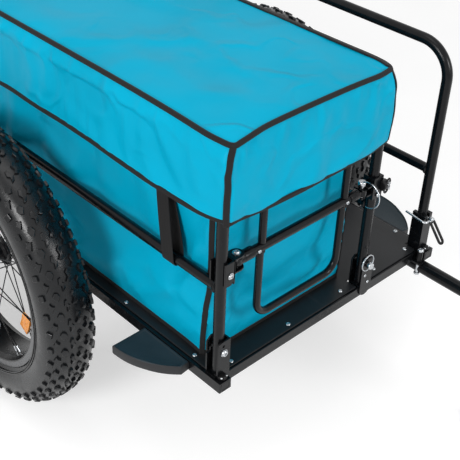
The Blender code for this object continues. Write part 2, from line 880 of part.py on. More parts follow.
def make_gate_latch(end, x, way, latch_y, rail_z, gate, frame):
    """The hook on the inner post, open towards the gate's swing, and the ring pin that it holds."""
    wrap = POST_RADIUS + GAP
    collar = box(
        f"{end}_latch_bracket",
        (x - wrap - BRACKET_WALL, INNER_HOOP_Y - wrap - BRACKET_WALL, rail_z - 0.020),
        (x + wrap + BRACKET_WALL, INNER_HOOP_Y + wrap + BRACKET_WALL, rail_z + 0.022),
        BLACK_PAINT,
    )
    arms = [
        box(
            f"{end}_latch_arm_{number}",
            (x - 0.010, latch_y - 0.009, rail_z + low),
            (x + 0.010, INNER_HOOP_Y - wrap - 0.001, rail_z + low + FORK_TAB),
            BLACK_PAINT,
        )
        for number, low in enumerate((FORK_GAP, -FORK_GAP - FORK_TAB))
    ]
    post_bore = cylinder(
        f"{end}_latch_post_bore", wrap, 0.2, (x, INNER_HOOP_Y, rail_z), "Z", BLACK_PAINT, 24
    )
    low_x, high_x = sorted((x, x + way * 0.03))
    notch = box(
        f"{end}_latch_notch",
        (low_x, latch_y - PIN_BORE - 0.0008, rail_z - 0.03),
        (high_x, latch_y + PIN_BORE + 0.0008, rail_z + 0.03),
        BLACK_PAINT,
    )
    seat = cylinder(
        f"{end}_latch_seat", PIN_BORE + 0.0008, 0.06, (x, latch_y, rail_z), "Z", BLACK_PAINT
    )
    carry(cut(join(collar, *arms), post_bore, notch, seat), frame)
    pin_body = body(f"{end}_latch_pin", (x, latch_y, rail_z), gate)
    ring_pin(
        f"{end}_latch_ring_pin",
        (x, latch_y, rail_z - 0.015),
        (x, latch_y, rail_z + 0.0135),
        (x + way * 0.0165, latch_y + 0.012, rail_z - 0.006),
        0.0240,
        pin_body,
    )


def tub_ring(shape, z, level, wall):
    """One level of the tub's outline, drawn in by its cloth's thickness."""
    _, inset, bulge = level
    drawn_in = inset + wall
    outline = rounded_rectangle(
        BED_REAR + TUB_END_INSET + drawn_in,
        BED_FRONT - TUB_END_INSET - drawn_in,
        TUB_RIGHT - bulge + wall,
        TUB_LEFT - wall,
        TUB_CORNER - wall,
    )
    return [shape.verts.new((x, y, z)) for x, y in outline]


def make_tub(frame):
    """The fabric tub: an open box whose foot bulges out below the right hoop's brace."""
    floor = DECK + GAP
    rim = from_rail(TUB_HEIGHT)
    levels = [(floor + level[0], level) for level in TUB_LEVELS]
    levels.append((rim, TUB_LEVELS[-1]))
    mesh = bpy.data.meshes.new("fabric_tub")
    shape = bmesh.new()
    rings = [tub_ring(shape, z, level, 0.0) for z, level in levels]
    rings += [tub_ring(shape, z, level, TUB_WALL) for z, level in reversed(levels[1:])]
    rings.append(tub_ring(shape, floor + TUB_WALL, TUB_LEVELS[0], TUB_WALL))
    for ring, following in zip(rings, rings[1:]):
        for index in range(len(ring)):
            after = (index + 1) % len(ring)
            shape.faces.new((ring[index], ring[after], following[after], following[index]))
    shape.faces.new(list(reversed(rings[0])))
    shape.faces.new(rings[-1])
    shape.to_mesh(mesh)
    shape.free()
    carry(put("fabric_tub", mesh, TEAL_CLOTH), frame)


def make_straps(frame):
    """Webbing loops that tie the tub's top edge to the right hoop's brace."""
    web = 0.002
    rail_z = from_rail(HOOP_BRACE)
    rail_y = -POST_Y
    outer = POST_RADIUS + GAP + web
    inner = POST_RADIUS + GAP
    high = from_rail(0.395)
    top_y = TUB_RIGHT - 0.0007

    def loop(radius, top, shift):
        return [
            (top_y - shift, top),
            (top_y - 2 * web + shift, top),
            *arc((rail_y, rail_z), radius, 180, 360, 10),
        ]

    for name, x in (("front", 0.062), ("rear", 2 * BED_MIDDLE - 0.062)):
        band = outline_plate(
            f"tub_strap_{name}",
            loop(outer, high, 0.0),
            0.025,
            BLACK_WEB,
            (x, 0.0, 0.0),
            (math.pi / 2, 0.0, math.pi / 2),
            holes=[loop(inner, high - web, 0.0015)],
        )
        carry(as_mesh(band), frame)


def make_lid(frame):
    """The slip-over lid: a stiff top and a hanging skirt outside the hoops."""
    lift = body("lid", (BED_MIDDLE, (INNER_HOOP_Y - POST_Y) / 2, from_rail(LID_TOP)), frame)
    reach = POST_RADIUS + 0.0005 + LID_WALL
    x_low, x_high = REAR_POST_X - reach, FRONT_POST_X + reach
    y_low, y_high = -POST_Y - reach, INNER_HOOP_Y + reach
    top = from_rail(LID_TOP)
    under = top - LID_BOARD
    board = outline_plate(
        "lid_top",
        rounded_rectangle(x_low, x_high, y_low, y_high, 0.012),
        LID_BOARD,
        TEAL_CLOTH,
        (0.0, 0.0, (top + under) / 2),
    )
    carry(as_mesh(board), lift)
    skirt_low = from_rail(SKIRT_BOTTOM)
    skirt_high = under - GAP
    inner = rounded_rectangle(
        x_low + LID_WALL, x_high - LID_WALL, y_low + LID_WALL, y_high - LID_WALL, 0.012 - LID_WALL
    )
    skirt = outline_plate(
        "lid_skirt",
        rounded_rectangle(x_low, x_high, y_low, y_high, 0.012),
        skirt_high - skirt_low,
        TEAL_CLOTH,
        (0.0, 0.0, (skirt_high + skirt_low) / 2),
        holes=[inner],
    )
    carry(as_mesh(skirt), lift)


def tyre_profile():
    """Section of the tyre: a fat round carcass that opens at its two beads."""
    mid_radius = (WHEEL_RADIUS + RIM_RADIUS - 0.004) / 2
    half_height = WHEEL_RADIUS - mid_radius
    bead = 0.034
    outer, inner = [], []
    power = 2.6
    for step in range(13):
        angle = math.radians(-142 + 284 * step / 12)
        spread = (abs(math.cos(angle)) ** power + abs(math.sin(angle)) ** power) ** (-1 / power)
        radial = math.cos(angle) * spread
        sideways = -math.sin(angle) * spread
        outer.append((mid_radius + half_height * radial, TYRE_HALF_WIDTH * sideways))
        if step % 2 == 0 or step in (1, 11):
            inner.append(
                (
                    mid_radius + (half_height - 0.006) * radial,
                    (TYRE_HALF_WIDTH - 0.005) * sideways,
                )
            )
    outer[0] = (RIM_RADIUS + 0.001, bead + 0.001)
    outer[-1] = (RIM_RADIUS + 0.001, -bead - 0.001)
    inner[0] = (RIM_RADIUS + 0.002, bead - 0.004)
    inner[-1] = (RIM_RADIUS + 0.002, -bead + 0.004)
    return outer + list(reversed(inner))


def rim_profile():
    """Section of the double-flanged rim, down its outer side and back along its barrel."""
    flange, well = RIM_RADIUS, RIM_RADIUS - 0.008
    half = RIM_HALF_WIDTH
    barrel = RIM_RADIUS - 0.018
    return [
        (flange + 0.0004, half),
        (flange - 0.0004, half - 0.0035),
        (well, half - 0.005),
        (well, -half + 0.005),
        (flange - 0.0004, -half + 0.0035),
        (flange + 0.0004, -half),
        (barrel + 0.006, -half),
        (barrel, -half + 0.010),
        (barrel, half - 0.010),
        (barrel + 0.006, half),
    ]


def hub_profile():
    """Section of the hub shell: two spoke flanges on a barrel, open along its axle."""
    bore = AXLE_RADIUS + BORE_CLEARANCE
    half, flange, web = HUB_HALF_WIDTH, FLANGE_OFFSET, 0.0016
    return [
        (0.012, half),
        (0.013, flange + 0.005),
        (FLANGE_RADIUS, flange + web),
        (FLANGE_RADIUS, flange - web),
        (HUB_RADIUS, flange - 0.006),
        (HUB_RADIUS, -flange + 0.006),
        (FLANGE_RADIUS, -flange + web),
        (FLANGE_RADIUS, -flange - web),
        (0.013, -flange - 0.005),
        (0.012, -half),
        (bore, -half),
        (bore, half),
    ]


def make_spokes(side, centre):
    """All the spokes of a wheel as one mesh of thin bars, from the hub's flanges to the rim."""
    rim_reach = RIM_RADIUS - 0.018 - 5 * GAP
    mesh = bpy.data.meshes.new(f"spokes_{side}")
    shape = bmesh.new()
    for flange_side in (-1, 1):
        for number in range(SPOKES_PER_SIDE):
            lean = 1 if number % 2 else -1
            start_angle = math.tau * (number + 0.25 * flange_side) / SPOKES_PER_SIDE
            end_angle = start_angle + lean * math.radians(58)
            hub_end = Vector(
                (
                    (FLANGE_RADIUS - 0.0025) * math.cos(start_angle),
                    flange_side * FLANGE_OFFSET + lean * 0.0012,
                    (FLANGE_RADIUS - 0.0025) * math.sin(start_angle),
                )
            )
            rim_end = Vector(
                (
                    rim_reach * math.cos(end_angle),
                    flange_side * 0.010 + lean * 0.0022,
                    rim_reach * math.sin(end_angle),
                )
            )
            run = rim_end - hub_end
            turn = run.to_track_quat("Z", "X").to_matrix().to_4x4()
            bmesh.ops.create_cone(
                shape,
                cap_ends=True,
                segments=4,
                radius1=SPOKE_RADIUS,
                radius2=SPOKE_RADIUS,
                depth=run.length,
                matrix=Matrix.Translation((hub_end + rim_end) / 2) @ turn,
            )
    shape.to_mesh(mesh)
    shape.free()
    return put(f"spokes_{side}", mesh, STEEL, centre)


def make_wheel(side, sign, frame):
    """A fat-tyred wheel on its quick-release stub axle."""
    centre = Vector((BED_MIDDLE, sign * HALF_TRACK, AXLE_Z))
    wheel = body(f"{side}_wheel", centre, frame)
    carry(turned(f"tyre_{side}", tyre_profile(), RUBBER, centre), wheel)
    carry(turned(f"rim_{side}", rim_profile(), RIM_PAINT, centre), wheel)
    hub = turned(f"hub_and_spokes_{side}", hub_profile(), BLACK_PAINT, centre, steps=24)
    carry(join(hub, make_spokes(side, centre)), wheel)
    make_reflector(side, sign, centre, wheel)
    make_axle(side, sign, frame)


def make_reflector(side, sign, centre, wheel):
    """The amber wedge clipped between two outer spokes."""
    outline = [
        *arc((0.0, 0.0), 0.184, -0.5, 8.5, 4),
        *arc((0.0, 0.0), 0.150, 7.5, 0.5, 3),
    ]
    reflector = outline_plate(
        f"spoke_reflector_{side}",
        outline,
        0.006,
        AMBER,
        centre,
        (math.pi / 2, math.radians(REFLECTOR_ANGLE), 0.0),
    )
    carry(as_mesh(reflector), wheel)


def make_axle(side, sign, frame):
    """The stub axle with its push-button head, through the hub and the rail's boss."""
    outer_end = HALF_TRACK + HUB_HALF_WIDTH + 0.004
    inner_end = HALF_BED - RAIL_WIDTH - 0.050
    rod = cylinder(
        f"stub_axle_{side}",
        AXLE_RADIUS,
        outer_end - inner_end,
        (BED_MIDDLE, sign * (outer_end + inner_end) / 2, AXLE_Z),
        "Y",
        STEEL,
    )
    head = cylinder(
        f"axle_head_{side}",
        0.0125,
        0.010,
        (BED_MIDDLE, sign * (outer_end + 0.0016), AXLE_Z),
        "Y",
        STEEL,
    )
    carry(join(rod, head), frame)


def make_drawbar(frame):
    """The tow bar under the left rail and the bolts that hold it there."""
    level = drawbar_level()
    corners = (
        (-0.060, DRAWBAR_Y, level),
        (0.470, DRAWBAR_Y, level),
        (0.690, COUPLING_Y, COUPLING_Z),
        (COUPLING_TIP - 0.090, COUPLING_Y, COUPLING_Z),
    )
    bar = tube("drawbar", rounded(corners, 0.090, 6), DRAWBAR_RADIUS, BLACK_PAINT)
    bores = []
    bolts = (
        ("front", FRONT_BOLT_X, FRONT_BOLT_Y, RAIL_BOTTOM + 0.0275),
        ("rear", REAR_BOLT_X, REAR_BOLT_Y, DECK + GAP),
    )
    for end, x, y, high in bolts:
        bores.append(cylinder(f"drawbar_bore_{end}", BOLT_BORE, 0.06, (x, y, level), "Z", BLACK_PAINT))
        low = level - DRAWBAR_RADIUS - 0.004
        bolt = cylinder(
            f"drawbar_bolt_{end}",
            BOLT_RADIUS,
            high + 0.002 - low,
            (x, y, (high + 0.002 + low) / 2),
            "Z",
            ZINC,
            16,
        )
        pieces = [
            cylinder(f"drawbar_bolt_head_{end}_{number}", 0.0062, 0.004, (x, y, z), "Z", ZINC, 16)
            for number, z in enumerate((high + 0.0022, low))
        ]
        if end == "front":
            foot = RAIL_BOTTOM + 0.004 + GAP
            pieces.append(
                cylinder(
                    "drawbar_bolt_sleeve",
                    0.0057,
                    high - foot,
                    (x, y, (high + foot) / 2),
                    "Z",
                    BLACK_PAINT,
                    16,
                )
            )
        carry(join(bolt, *pieces), frame)
    carry(cut(bar, *bores), frame)
    make_stand(frame, level)
    make_coupling(frame)


def drawbar_level():
    return RAIL_BOTTOM - GAP - DRAWBAR_RADIUS


def make_stand(frame, level):
    """The parking stand under the drawbar, which folds up to the rear."""
    pivot = Vector((STAND_X, DRAWBAR_Y, level - STAND_DROP))
    bracket = box(
        "stand_bracket",
        (STAND_X - 0.016, DRAWBAR_Y - 0.0165, pivot.z - 0.012),
        (STAND_X + 0.016, DRAWBAR_Y + 0.0165, level + 0.006),
        BLACK_PAINT,
    )
    bar_bore = cylinder(
        "stand_clamp_bore", DRAWBAR_RADIUS + GAP, 0.08, (STAND_X, DRAWBAR_Y, level), "X", BLACK_PAINT, 24
    )
    slot = box(
        "stand_slot",
        (STAND_X - 0.040, DRAWBAR_Y - 0.0105, pivot.z - 0.030),
        (STAND_X + 0.040, DRAWBAR_Y + 0.0105, pivot.z + 0.0125),
        BLACK_PAINT,
    )
    bolt = cylinder("stand_bolt", BOLT_RADIUS, 0.040, pivot, "Y", ZINC, 16)
    heads = [
        cylinder(
            f"stand_bolt_head_{number}",
            0.0066,
            0.004,
            pivot + Vector((0.0, step * 0.0182, 0.0)),
            "Y",
            ZINC,
            16,
        )
        for number, step in enumerate((-1, 1))
    ]
    carry(join(cut(bracket, bar_bore, slot), bolt, *heads), frame)
    stand = body("stand", pivot, frame)
    foot_height = 0.018
    leg = cylinder(
        "stand_leg",
        0.0080,
        pivot.z - foot_height,
        (pivot.x, pivot.y, (pivot.z + foot_height) / 2),
        "Z",
        BLACK_PAINT,
        16,
    )
    eye = cylinder("stand_eye", 0.0100, 0.018, pivot, "Y", BLACK_PAINT)
    eye_bore = cylinder("stand_eye_bore", BOLT_BORE, 0.04, pivot, "Y", BLACK_PAINT)
    foot = box(
        "stand_foot",
        (pivot.x - 0.016, pivot.y - 0.030, 0.0),
        (pivot.x + 0.016, pivot.y + 0.030, foot_height + 0.002),
        BLACK_PAINT,
        0.003,
    )
    carry(cut(join(leg, eye, foot), eye_bore), stand)


def make_coupling(frame):
    """The fork on the drawbar's end and the swivelling tongue that is pinned to the bicycle."""
    socket_end = COUPLING_TIP - 0.082
    hinge_x = COUPLING_TIP - 0.058
    eye_x = COUPLING_TIP - 0.013
    fork_gap, tab = 0.0110, 0.004
    socket = cylinder(
        "coupling_fork",
        0.0165,
        0.034,
        (socket_end - 0.017, COUPLING_Y, COUPLING_Z),
        "X",
        BLACK_PAINT,
        24,
    )
    bar_bore = cylinder(
        "fork_bar_bore",
        DRAWBAR_RADIUS + GAP,
        0.030,
        (socket_end - 0.0227, COUPLING_Y, COUPLING_Z),
        "X",
        BLACK_PAINT,
        24,
    )
    tabs = [
        box(
            f"fork_tab_{number}",
            (socket_end - 0.004, COUPLING_Y - 0.012, COUPLING_Z + low),
            (hinge_x + 0.012, COUPLING_Y + 0.012, COUPLING_Z + low + tab),
            BLACK_PAINT,
        )
        for number, low in enumerate((fork_gap, -fork_gap - tab))
    ]
    pivot = Vector((hinge_x, COUPLING_Y, COUPLING_Z))
    bolt = cylinder("coupling_bolt", BOLT_RADIUS, 0.036, pivot, "Z", ZINC, 16)
    heads = [
        cylinder(
            f"coupling_bolt_head_{number}",
            0.0068,
            0.004,
            pivot + Vector((0.0, 0.0, step * (fork_gap + tab + 0.0015))),
            "Z",
            ZINC,
            16,
        )
        for number, step in enumerate((-1, 1))
    ]
    carry(join(cut(socket, bar_bore), *tabs, bolt, *heads), frame)
    swivel = body("coupling_swivel", pivot, frame)
    half = fork_gap - 0.0006
    tongue = cylinder("coupling_tongue", 0.0110, 2 * half, pivot, "Z", BLACK_PAINT)
    bar = box(
        "tongue_bar",
        (hinge_x, COUPLING_Y - 0.0075, COUPLING_Z - half + 0.002),
        (eye_x, COUPLING_Y + 0.0075, COUPLING_Z + half - 0.002),
        BLACK_PAINT,
    )
    eye = cylinder(
        "tongue_eye", 0.0130, 2 * half, (eye_x, COUPLING_Y, COUPLING_Z), "Z", BLACK_PAINT, 24
    )
    bores = [
        cylinder(f"tongue_bore_{number}", PIN_BORE, 0.05, (x, COUPLING_Y, COUPLING_Z), "Z", BLACK_PAINT)
        for number, x in enumerate((hinge_x, eye_x))
    ]
    carry(cut(join(tongue, bar, eye), *bores), swivel)
    pin_body = body("hitch_pin", (eye_x, COUPLING_Y, COUPLING_Z), swivel)
    ring_pin(
        "hitch_ring_pin",
        (eye_x, COUPLING_Y, COUPLING_Z - 0.030),
        (eye_x, COUPLING_Y, COUPLING_Z + half + 0.0012),
        (eye_x, COUPLING_Y + 0.010, COUPLING_Z + half + 0.0202),
        0.0160,
        pin_body,
    )


def main():
    frame = body("trailer_frame")
    make_bed(frame)
    make_wheel_guards(frame)
    make_fixed_hoops(frame)
    make_inner_feet(frame)
    make_foot_pins(frame)
    make_board_rack(frame)
    for end, x, way in end_sides():
        make_gate(end, x, way, frame)
    make_tub(frame)
    make_straps(frame)
    make_lid(frame)
    for side, sign in (("right", -1), ("left", 1)):
        make_wheel(side, sign, frame)
    make_drawbar(frame)


main()
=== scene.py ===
"""The finished look of a beach bike trailer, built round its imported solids.

Metres. +X points to the bicycle, +Y to the trailer's left and +Z up. The origin is on the
ground under the middle of the whole trailer.
"""

import json
import math
import random

import bmesh
import bpy
from mathutils import Matrix, Vector, noise

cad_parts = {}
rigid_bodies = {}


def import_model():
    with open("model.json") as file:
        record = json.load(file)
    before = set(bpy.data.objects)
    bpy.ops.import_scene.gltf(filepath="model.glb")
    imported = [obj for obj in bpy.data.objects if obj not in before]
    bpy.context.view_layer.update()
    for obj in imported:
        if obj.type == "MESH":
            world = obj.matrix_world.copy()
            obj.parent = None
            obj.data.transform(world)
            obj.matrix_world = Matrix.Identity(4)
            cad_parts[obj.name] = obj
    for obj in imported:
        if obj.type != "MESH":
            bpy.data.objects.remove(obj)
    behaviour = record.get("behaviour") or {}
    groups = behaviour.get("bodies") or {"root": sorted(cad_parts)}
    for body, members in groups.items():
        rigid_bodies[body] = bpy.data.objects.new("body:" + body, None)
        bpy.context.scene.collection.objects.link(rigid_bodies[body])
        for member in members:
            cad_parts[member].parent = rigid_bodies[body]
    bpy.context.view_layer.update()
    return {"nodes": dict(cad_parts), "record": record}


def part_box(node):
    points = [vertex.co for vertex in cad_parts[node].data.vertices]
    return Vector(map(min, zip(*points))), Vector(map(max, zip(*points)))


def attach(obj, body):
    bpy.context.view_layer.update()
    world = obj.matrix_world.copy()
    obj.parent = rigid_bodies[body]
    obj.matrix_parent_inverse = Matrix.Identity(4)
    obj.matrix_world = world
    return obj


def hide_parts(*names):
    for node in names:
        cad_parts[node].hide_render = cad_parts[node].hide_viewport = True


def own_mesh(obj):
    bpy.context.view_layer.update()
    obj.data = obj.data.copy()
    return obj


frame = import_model()

bl_info = {
    "name": "Beach bike trailer", "version": (1, 0, 0), "blender": (4, 5, 0),
    "location": "3D View > Sidebar > Trailer",
    "description": "Builds the pieces, the materials and the stage of a beach bike trailer",
    "category": "Object"
}

# Bed
GROUND_TO_AXLE = 0.293
BED_FRONT, BED_REAR, HALF_BED = 0.200, -0.880, 0.280
BED_MIDDLE = (BED_FRONT + BED_REAR) / 2
RAIL_BOTTOM, RAIL_TOP, RAIL_WIDTH = 0.283, 0.303, 0.025
DECK = 0.3058

# Directions, and the slot and body that most pieces have
AHEAD, LEFTWARD, UPWARD = (1.0, 0.0, 0.0), (0.0, 1.0, 0.0), (0.0, 0.0, 1.0)
COAT, FRAME = "black_powder_coat", "trailer_frame"
PLASTIC = "black_plastic"

# Hoops and gates
FRONT_POST, REAR_POST = 0.1745, -0.8545
RIGHT_HOOP, INNER_HOOP, RACK_HOOP = -0.262, 0.089, 0.262
POST_RADIUS = 0.0095
HOOP_BRACE, HOOP_TOP, HOOP_BEND = 0.475, 0.713, 0.060
BRACE_RADIUS = 0.0087
GATE_RAIL = 0.5136
GATE_RADIUS, GATE_TUBE = 0.008, 0.0065
GATE_RIGHT_LEG, GATE_LEFT_LEG = -0.180, 0.012
GATE_LOW, GATE_HIGH, GATE_BEND = 0.375, 0.688, 0.028
HINGE_Y, LATCH_Y = -0.231, 0.059
EAR_TOP = 0.0136
# folded plates: wall, and half the room inside
PLATE_WALL, PLATE_INSIDE = 0.003, POST_RADIUS + 0.0012
FOOT_LOW = RAIL_TOP + 0.0003
FOOT_PIN_Z, RACK_PIN_Z = RAIL_BOTTOM + 0.070, RAIL_BOTTOM + 0.091
ENDS = (("front", FRONT_POST, 1), ("rear", REAR_POST, -1))

# Tub and lid
TUB_FRONT, TUB_REAR, TUB_RIGHT, TUB_LEFT = 0.143, -0.823, -0.247, 0.074
TUB_FLOOR, TUB_RIM, TUB_CORNER = 0.3064, 0.688, 0.012
# height above the tub's foot, draw-in of its ends, bulge of its right side
TUB_LEVELS = (
    (0.0, 0.005, 0.0075), (0.030, 0.002, 0.0090), (0.090, 0.0, 0.0075), (0.140, 0.0, 0.0010),
    (0.170, 0.0, 0.0)
)
LID_FRONT, LID_REAR, LID_RIGHT, LID_LEFT = 0.1867, -0.8667, -0.2742, 0.1012
LID_TOP, LID_SEAM = 0.736, 0.7342
LID_CORNER = 0.010
SIDES = ("front", "left", "rear", "right")
TUB_WALL, LID_WALL = 0.0022, 0.0012
# how far a cloth is cut too large, and the furthest that one of its points may sag
TUB_SLACK, TUB_SAG = 0.016, 0.014
LID_SLACK, LID_SAG = 0.008, 0.010
SAG_FRAMES = 26

# Wheels
HALF_TRACK = 0.369
RIM_RADIUS, RIM_HALF_WIDTH = 0.209, 0.038
HUB_HALF_WIDTH, HUB_RADIUS, FLANGE_RADIUS, FLANGE_OFFSET = 0.045, 0.017, 0.030, 0.032
SPOKES_PER_SIDE, SPOKE_RADIUS, SPOKE_SWEEP = 16, 0.0011, 58
RIM_WELL = RIM_RADIUS - 0.018
WHEEL_STEPS = 144
REFLECTOR_FROM_AXLE, REFLECTOR_ANGLE, REFLECTOR_TILT = 0.144, 38, 21

# Towing gear
DRAWBAR_Y, DRAWBAR_Z, DRAWBAR_RADIUS = 0.255, 0.270, 0.0127
DRAWBAR_REAR, DRAWBAR_BEND = -0.060, 0.090
COUPLING_Y, COUPLING_Z = 0.110, 0.335
HITCH_X, HITCH_HALF = 0.8914, 0.0104
FRONT_BOLT = (0.1955, 0.2455)

# The photograph's camera
CAMERA_PLACE = Vector((0.9792, -1.0489, 1.3854))
CAMERA_FORWARD = Vector((-0.577, 0.575, -0.580)).normalized()
CAMERA_UP = Vector((-0.441, 0.378, 0.814)).normalized()
CAMERA_LENS = 74.93

# Light Path outputs of camera, glossy and transmission rays, and a colour Mix node's sockets
SEEING_RAYS = ("Is Camera Ray", "Is Glossy Ray", "Is Transmission Ray")
MIX_COLOURS, MIX_RESULT = (6, 7), 2


class Value:
    """A shader socket that takes part in Python expressions."""

    def __init__(self, finish, socket):
        self.finish = finish
        self.socket = socket

    def math(self, operation, *values):
        return self.finish.node("ShaderNodeMath", {"operation": operation}, dict(enumerate(values)))

    def __add__(self, other):
        return self.math("ADD", self, other)

    def __radd__(self, other):
        return self.math("ADD", other, self)

    def __sub__(self, other):
        return self.math("SUBTRACT", self, other)

    def __rsub__(self, other):
        return self.math("SUBTRACT", other, self)

    def __mul__(self, other):
        return self.math("MULTIPLY", self, other)

    def __rmul__(self, other):
        return self.math("MULTIPLY", other, self)

    def sine(self):
        return self.math("SINE", self)

    def root(self):
        return self.math("SQRT", self)

    def clamped(self):
        return self.finish.node("ShaderNodeClamp", {}, {"Value": self})

    def ramp(self, low, high):
        """0 at or below low, 1 at or above high, and smooth between them."""
        return self.finish.node(
            "ShaderNodeMapRange", {"interpolation_type": "SMOOTHSTEP"},
            {"Value": self, "From Min": low, "From Max": high}
        )


class Nodes:
    """Adds the nodes of one tree."""

    def __init__(self, tree):
        self.tree = tree

    def node(self, kind, settings=None, inputs=None, output=0):
        made = self.tree.nodes.new(kind)
        for setting, value in (settings or {}).items():
            setattr(made, setting, value)
        for socket, value in (inputs or {}).items():
            self.feed(made.inputs[socket], value)
        return Value(self, made.outputs[output]) if made.outputs else None

    def feed(self, socket, value):
        if isinstance(value, Value):
            self.tree.links.new(value.socket, socket)
        else:
            socket.default_value = value

    def not_for_light(self):
        """1 for rays that see a thing directly, in a reflection or through glass, 0 for its
        light."""
        seen = [self.node("ShaderNodeLightPath", output=index) for index in SEEING_RAYS]
        return (seen[0] + seen[1] + seen[2]).clamped()


class Finish(Nodes):
    """One procedural material in the making, with the constants of its shader."""

    def __init__(self, name, **constants):
        self.material = bpy.data.materials.new(name)
        self.material.use_nodes = True
        super().__init__(self.material.node_tree)
        self.shader = self.tree.nodes["Principled BSDF"]
        for socket, value in constants.items():
            self.shader.inputs[socket.replace("_", " ")].default_value = value

    def place(self):
        """The point's place on the piece, in metres."""
        return self.node("ShaderNodeTexCoord", output="Object")

    def run(self):
        """Metres along and across a sewn or swept piece."""
        return self.node("ShaderNodeUVMap", {"uv_map": "run"})

    def parts_of(self, vector):
        made = self.node("ShaderNodeSeparateXYZ", {}, {"Vector": vector})
        outputs = made.socket.node.outputs
        return tuple(Value(self, outputs[axis]) for axis in ("X", "Y", "Z"))

    def noise(self, scale, detail=3.0, roughness=0.5, vector=None):
        inputs = {
            "Vector": vector or self.place(), "Scale": scale, "Detail": detail,
            "Roughness": roughness
        }
        return self.node("ShaderNodeTexNoise", {}, inputs)

    def mix(self, share, first, second):
        """A colour between two colours."""
        made = self.node("ShaderNodeMix", {"data_type": "RGBA"}, {"Factor": share})
        node = made.socket.node
        for index, value in zip(MIX_COLOURS, (first, second)):
            self.feed(node.inputs[index], value if isinstance(value, Value) else (*value, 1.0))
        return Value(self, node.outputs[MIX_RESULT])

    def bump(self, height, distance, strength=1.0):
        return self.node(
            "ShaderNodeBump", {}, {"Strength": strength, "Distance": distance, "Height": height}
        )

    def set(self, **values):
        for socket, value in values.items():
            self.feed(self.shader.inputs[socket.replace("_", " ")], value)
        return self.material


def powder_coat(name, colour, shine=0.20, gloss=0.20):
    """Black powder coat: a fine pebbled skin with dust in it and a few dull rubs."""
    finish = Finish(name, Metallic=0.0, IOR=1.5, Specular_IOR_Level=gloss)
    dust = finish.noise(60.0, 4.0).ramp(0.45, 0.75)
    rub = finish.noise(14.0, 5.0, 0.7).ramp(0.62, 0.76)
    pebble = finish.noise(1400.0, 2.0)
    pale = tuple(0.8 * part + 0.004 for part in colour)
    base = finish.mix(dust * 0.5, colour, pale)
    base = finish.mix(rub * 0.12, base, (0.030, 0.030, 0.032))
    return finish.set(
        Base_Color=base, Roughness=shine + 0.10 * dust + 0.12 * rub,
        Normal=finish.bump(pebble, 0.00025, 0.30)
    )


def moulded(name, colour, grain, roughness):
    """Moulded plastic with a leathery grain."""
    finish = Finish(name, IOR=1.46, Specular_IOR_Level=0.24)
    coarse = finish.noise(grain, 3.0)
    cloud = finish.noise(22.0, 3.0)
    worn = tuple(1.25 * part + 0.006 for part in colour)
    return finish.set(
        Base_Color=finish.mix(cloud.ramp(0.4, 0.7) * 0.6, colour, worn),
        Roughness=roughness + 0.15 * (coarse - 0.5), Normal=finish.bump(coarse, 0.0004, 0.45)
    )


def bright_metal(name, colour, roughness, streak=900.0):
    """Plated or brushed steel with fine marks and a few dull spots."""
    finish = Finish(name, Metallic=1.0)
    marks = finish.noise(streak, 4.0, 0.6)
    spots = finish.noise(120.0, 3.0).ramp(0.55, 0.72)
    dull = tuple(0.72 * part for part in colour)
    return finish.set(
        Base_Color=finish.mix(spots * 0.6, colour, dull),
        Roughness=roughness + 0.18 * spots + 0.10 * (marks - 0.5),
        Normal=finish.bump(marks, 0.00008, 0.4)
    )


def polyester(name, colour):
    """Coated polyester canvas: a plain weave, soft creases and a slightly uneven dye."""
    finish = Finish(name, IOR=1.45, Specular_IOR_Level=0.07)
    along, across, upward = finish.parts_of(finish.place())
    pitch = math.tau / 0.0011
    weave = (along * pitch).sine() + (across * pitch).sine() + (upward * pitch).sine()
    slub = finish.noise(520.0, 2.0)
    cloud = finish.noise(5.0, 2.0)
    patch = finish.noise(3.2, 2.0).ramp(0.42, 0.62)
    broad, small = finish.noise(4.2, 1.5, 0.45), finish.noise(10.5, 1.5, 0.45)
    crease = broad.ramp(0.40, 0.50) * (1 - broad.ramp(0.50, 0.66))
    line = small.ramp(0.43, 0.50) * (1 - small.ramp(0.50, 0.62)) * patch
    deep = tuple(0.90 * part for part in colour)
    pale = tuple(min(1.0, 1.06 * part + 0.003) for part in colour)
    base = finish.mix(cloud.ramp(0.35, 0.65), deep, colour)
    base = finish.mix(slub.ramp(0.5, 0.8) * 0.3, base, pale)
    fold = finish.bump(crease + line * 0.45, 0.0110, 0.50)
    fine = finish.node(
        "ShaderNodeBump", {},
        {"Strength": 0.3, "Distance": 0.0003, "Height": weave * 0.10 + slub * 0.25, "Normal": fold}
    )
    return finish.set(Base_Color=base, Roughness=0.38 + 0.14 * slub, Normal=fine)


def webbing(name, colour):
    """Woven tape: close ribs across it, a herringbone face and a fuzzy thread."""
    finish = Finish(name, IOR=1.45, Specular_IOR_Level=0.20, Sheen_Weight=0.03)
    along, across, _ = finish.parts_of(finish.run())
    slant = (across * 900.0).sine() * 1.2
    rib = (along * (math.tau / 0.0013) + slant).sine()
    fuzz = finish.noise(800.0, 3.0)
    pale = tuple(2.2 * part + 0.012 for part in colour)
    return finish.set(
        Base_Color=finish.mix((rib * 0.5 + 0.5) * fuzz, colour, pale),
        Roughness=0.70 + 0.12 * (fuzz - 0.5),
        Normal=finish.bump(rib * 0.35 + fuzz * 0.4, 0.0004, 0.6)
    )


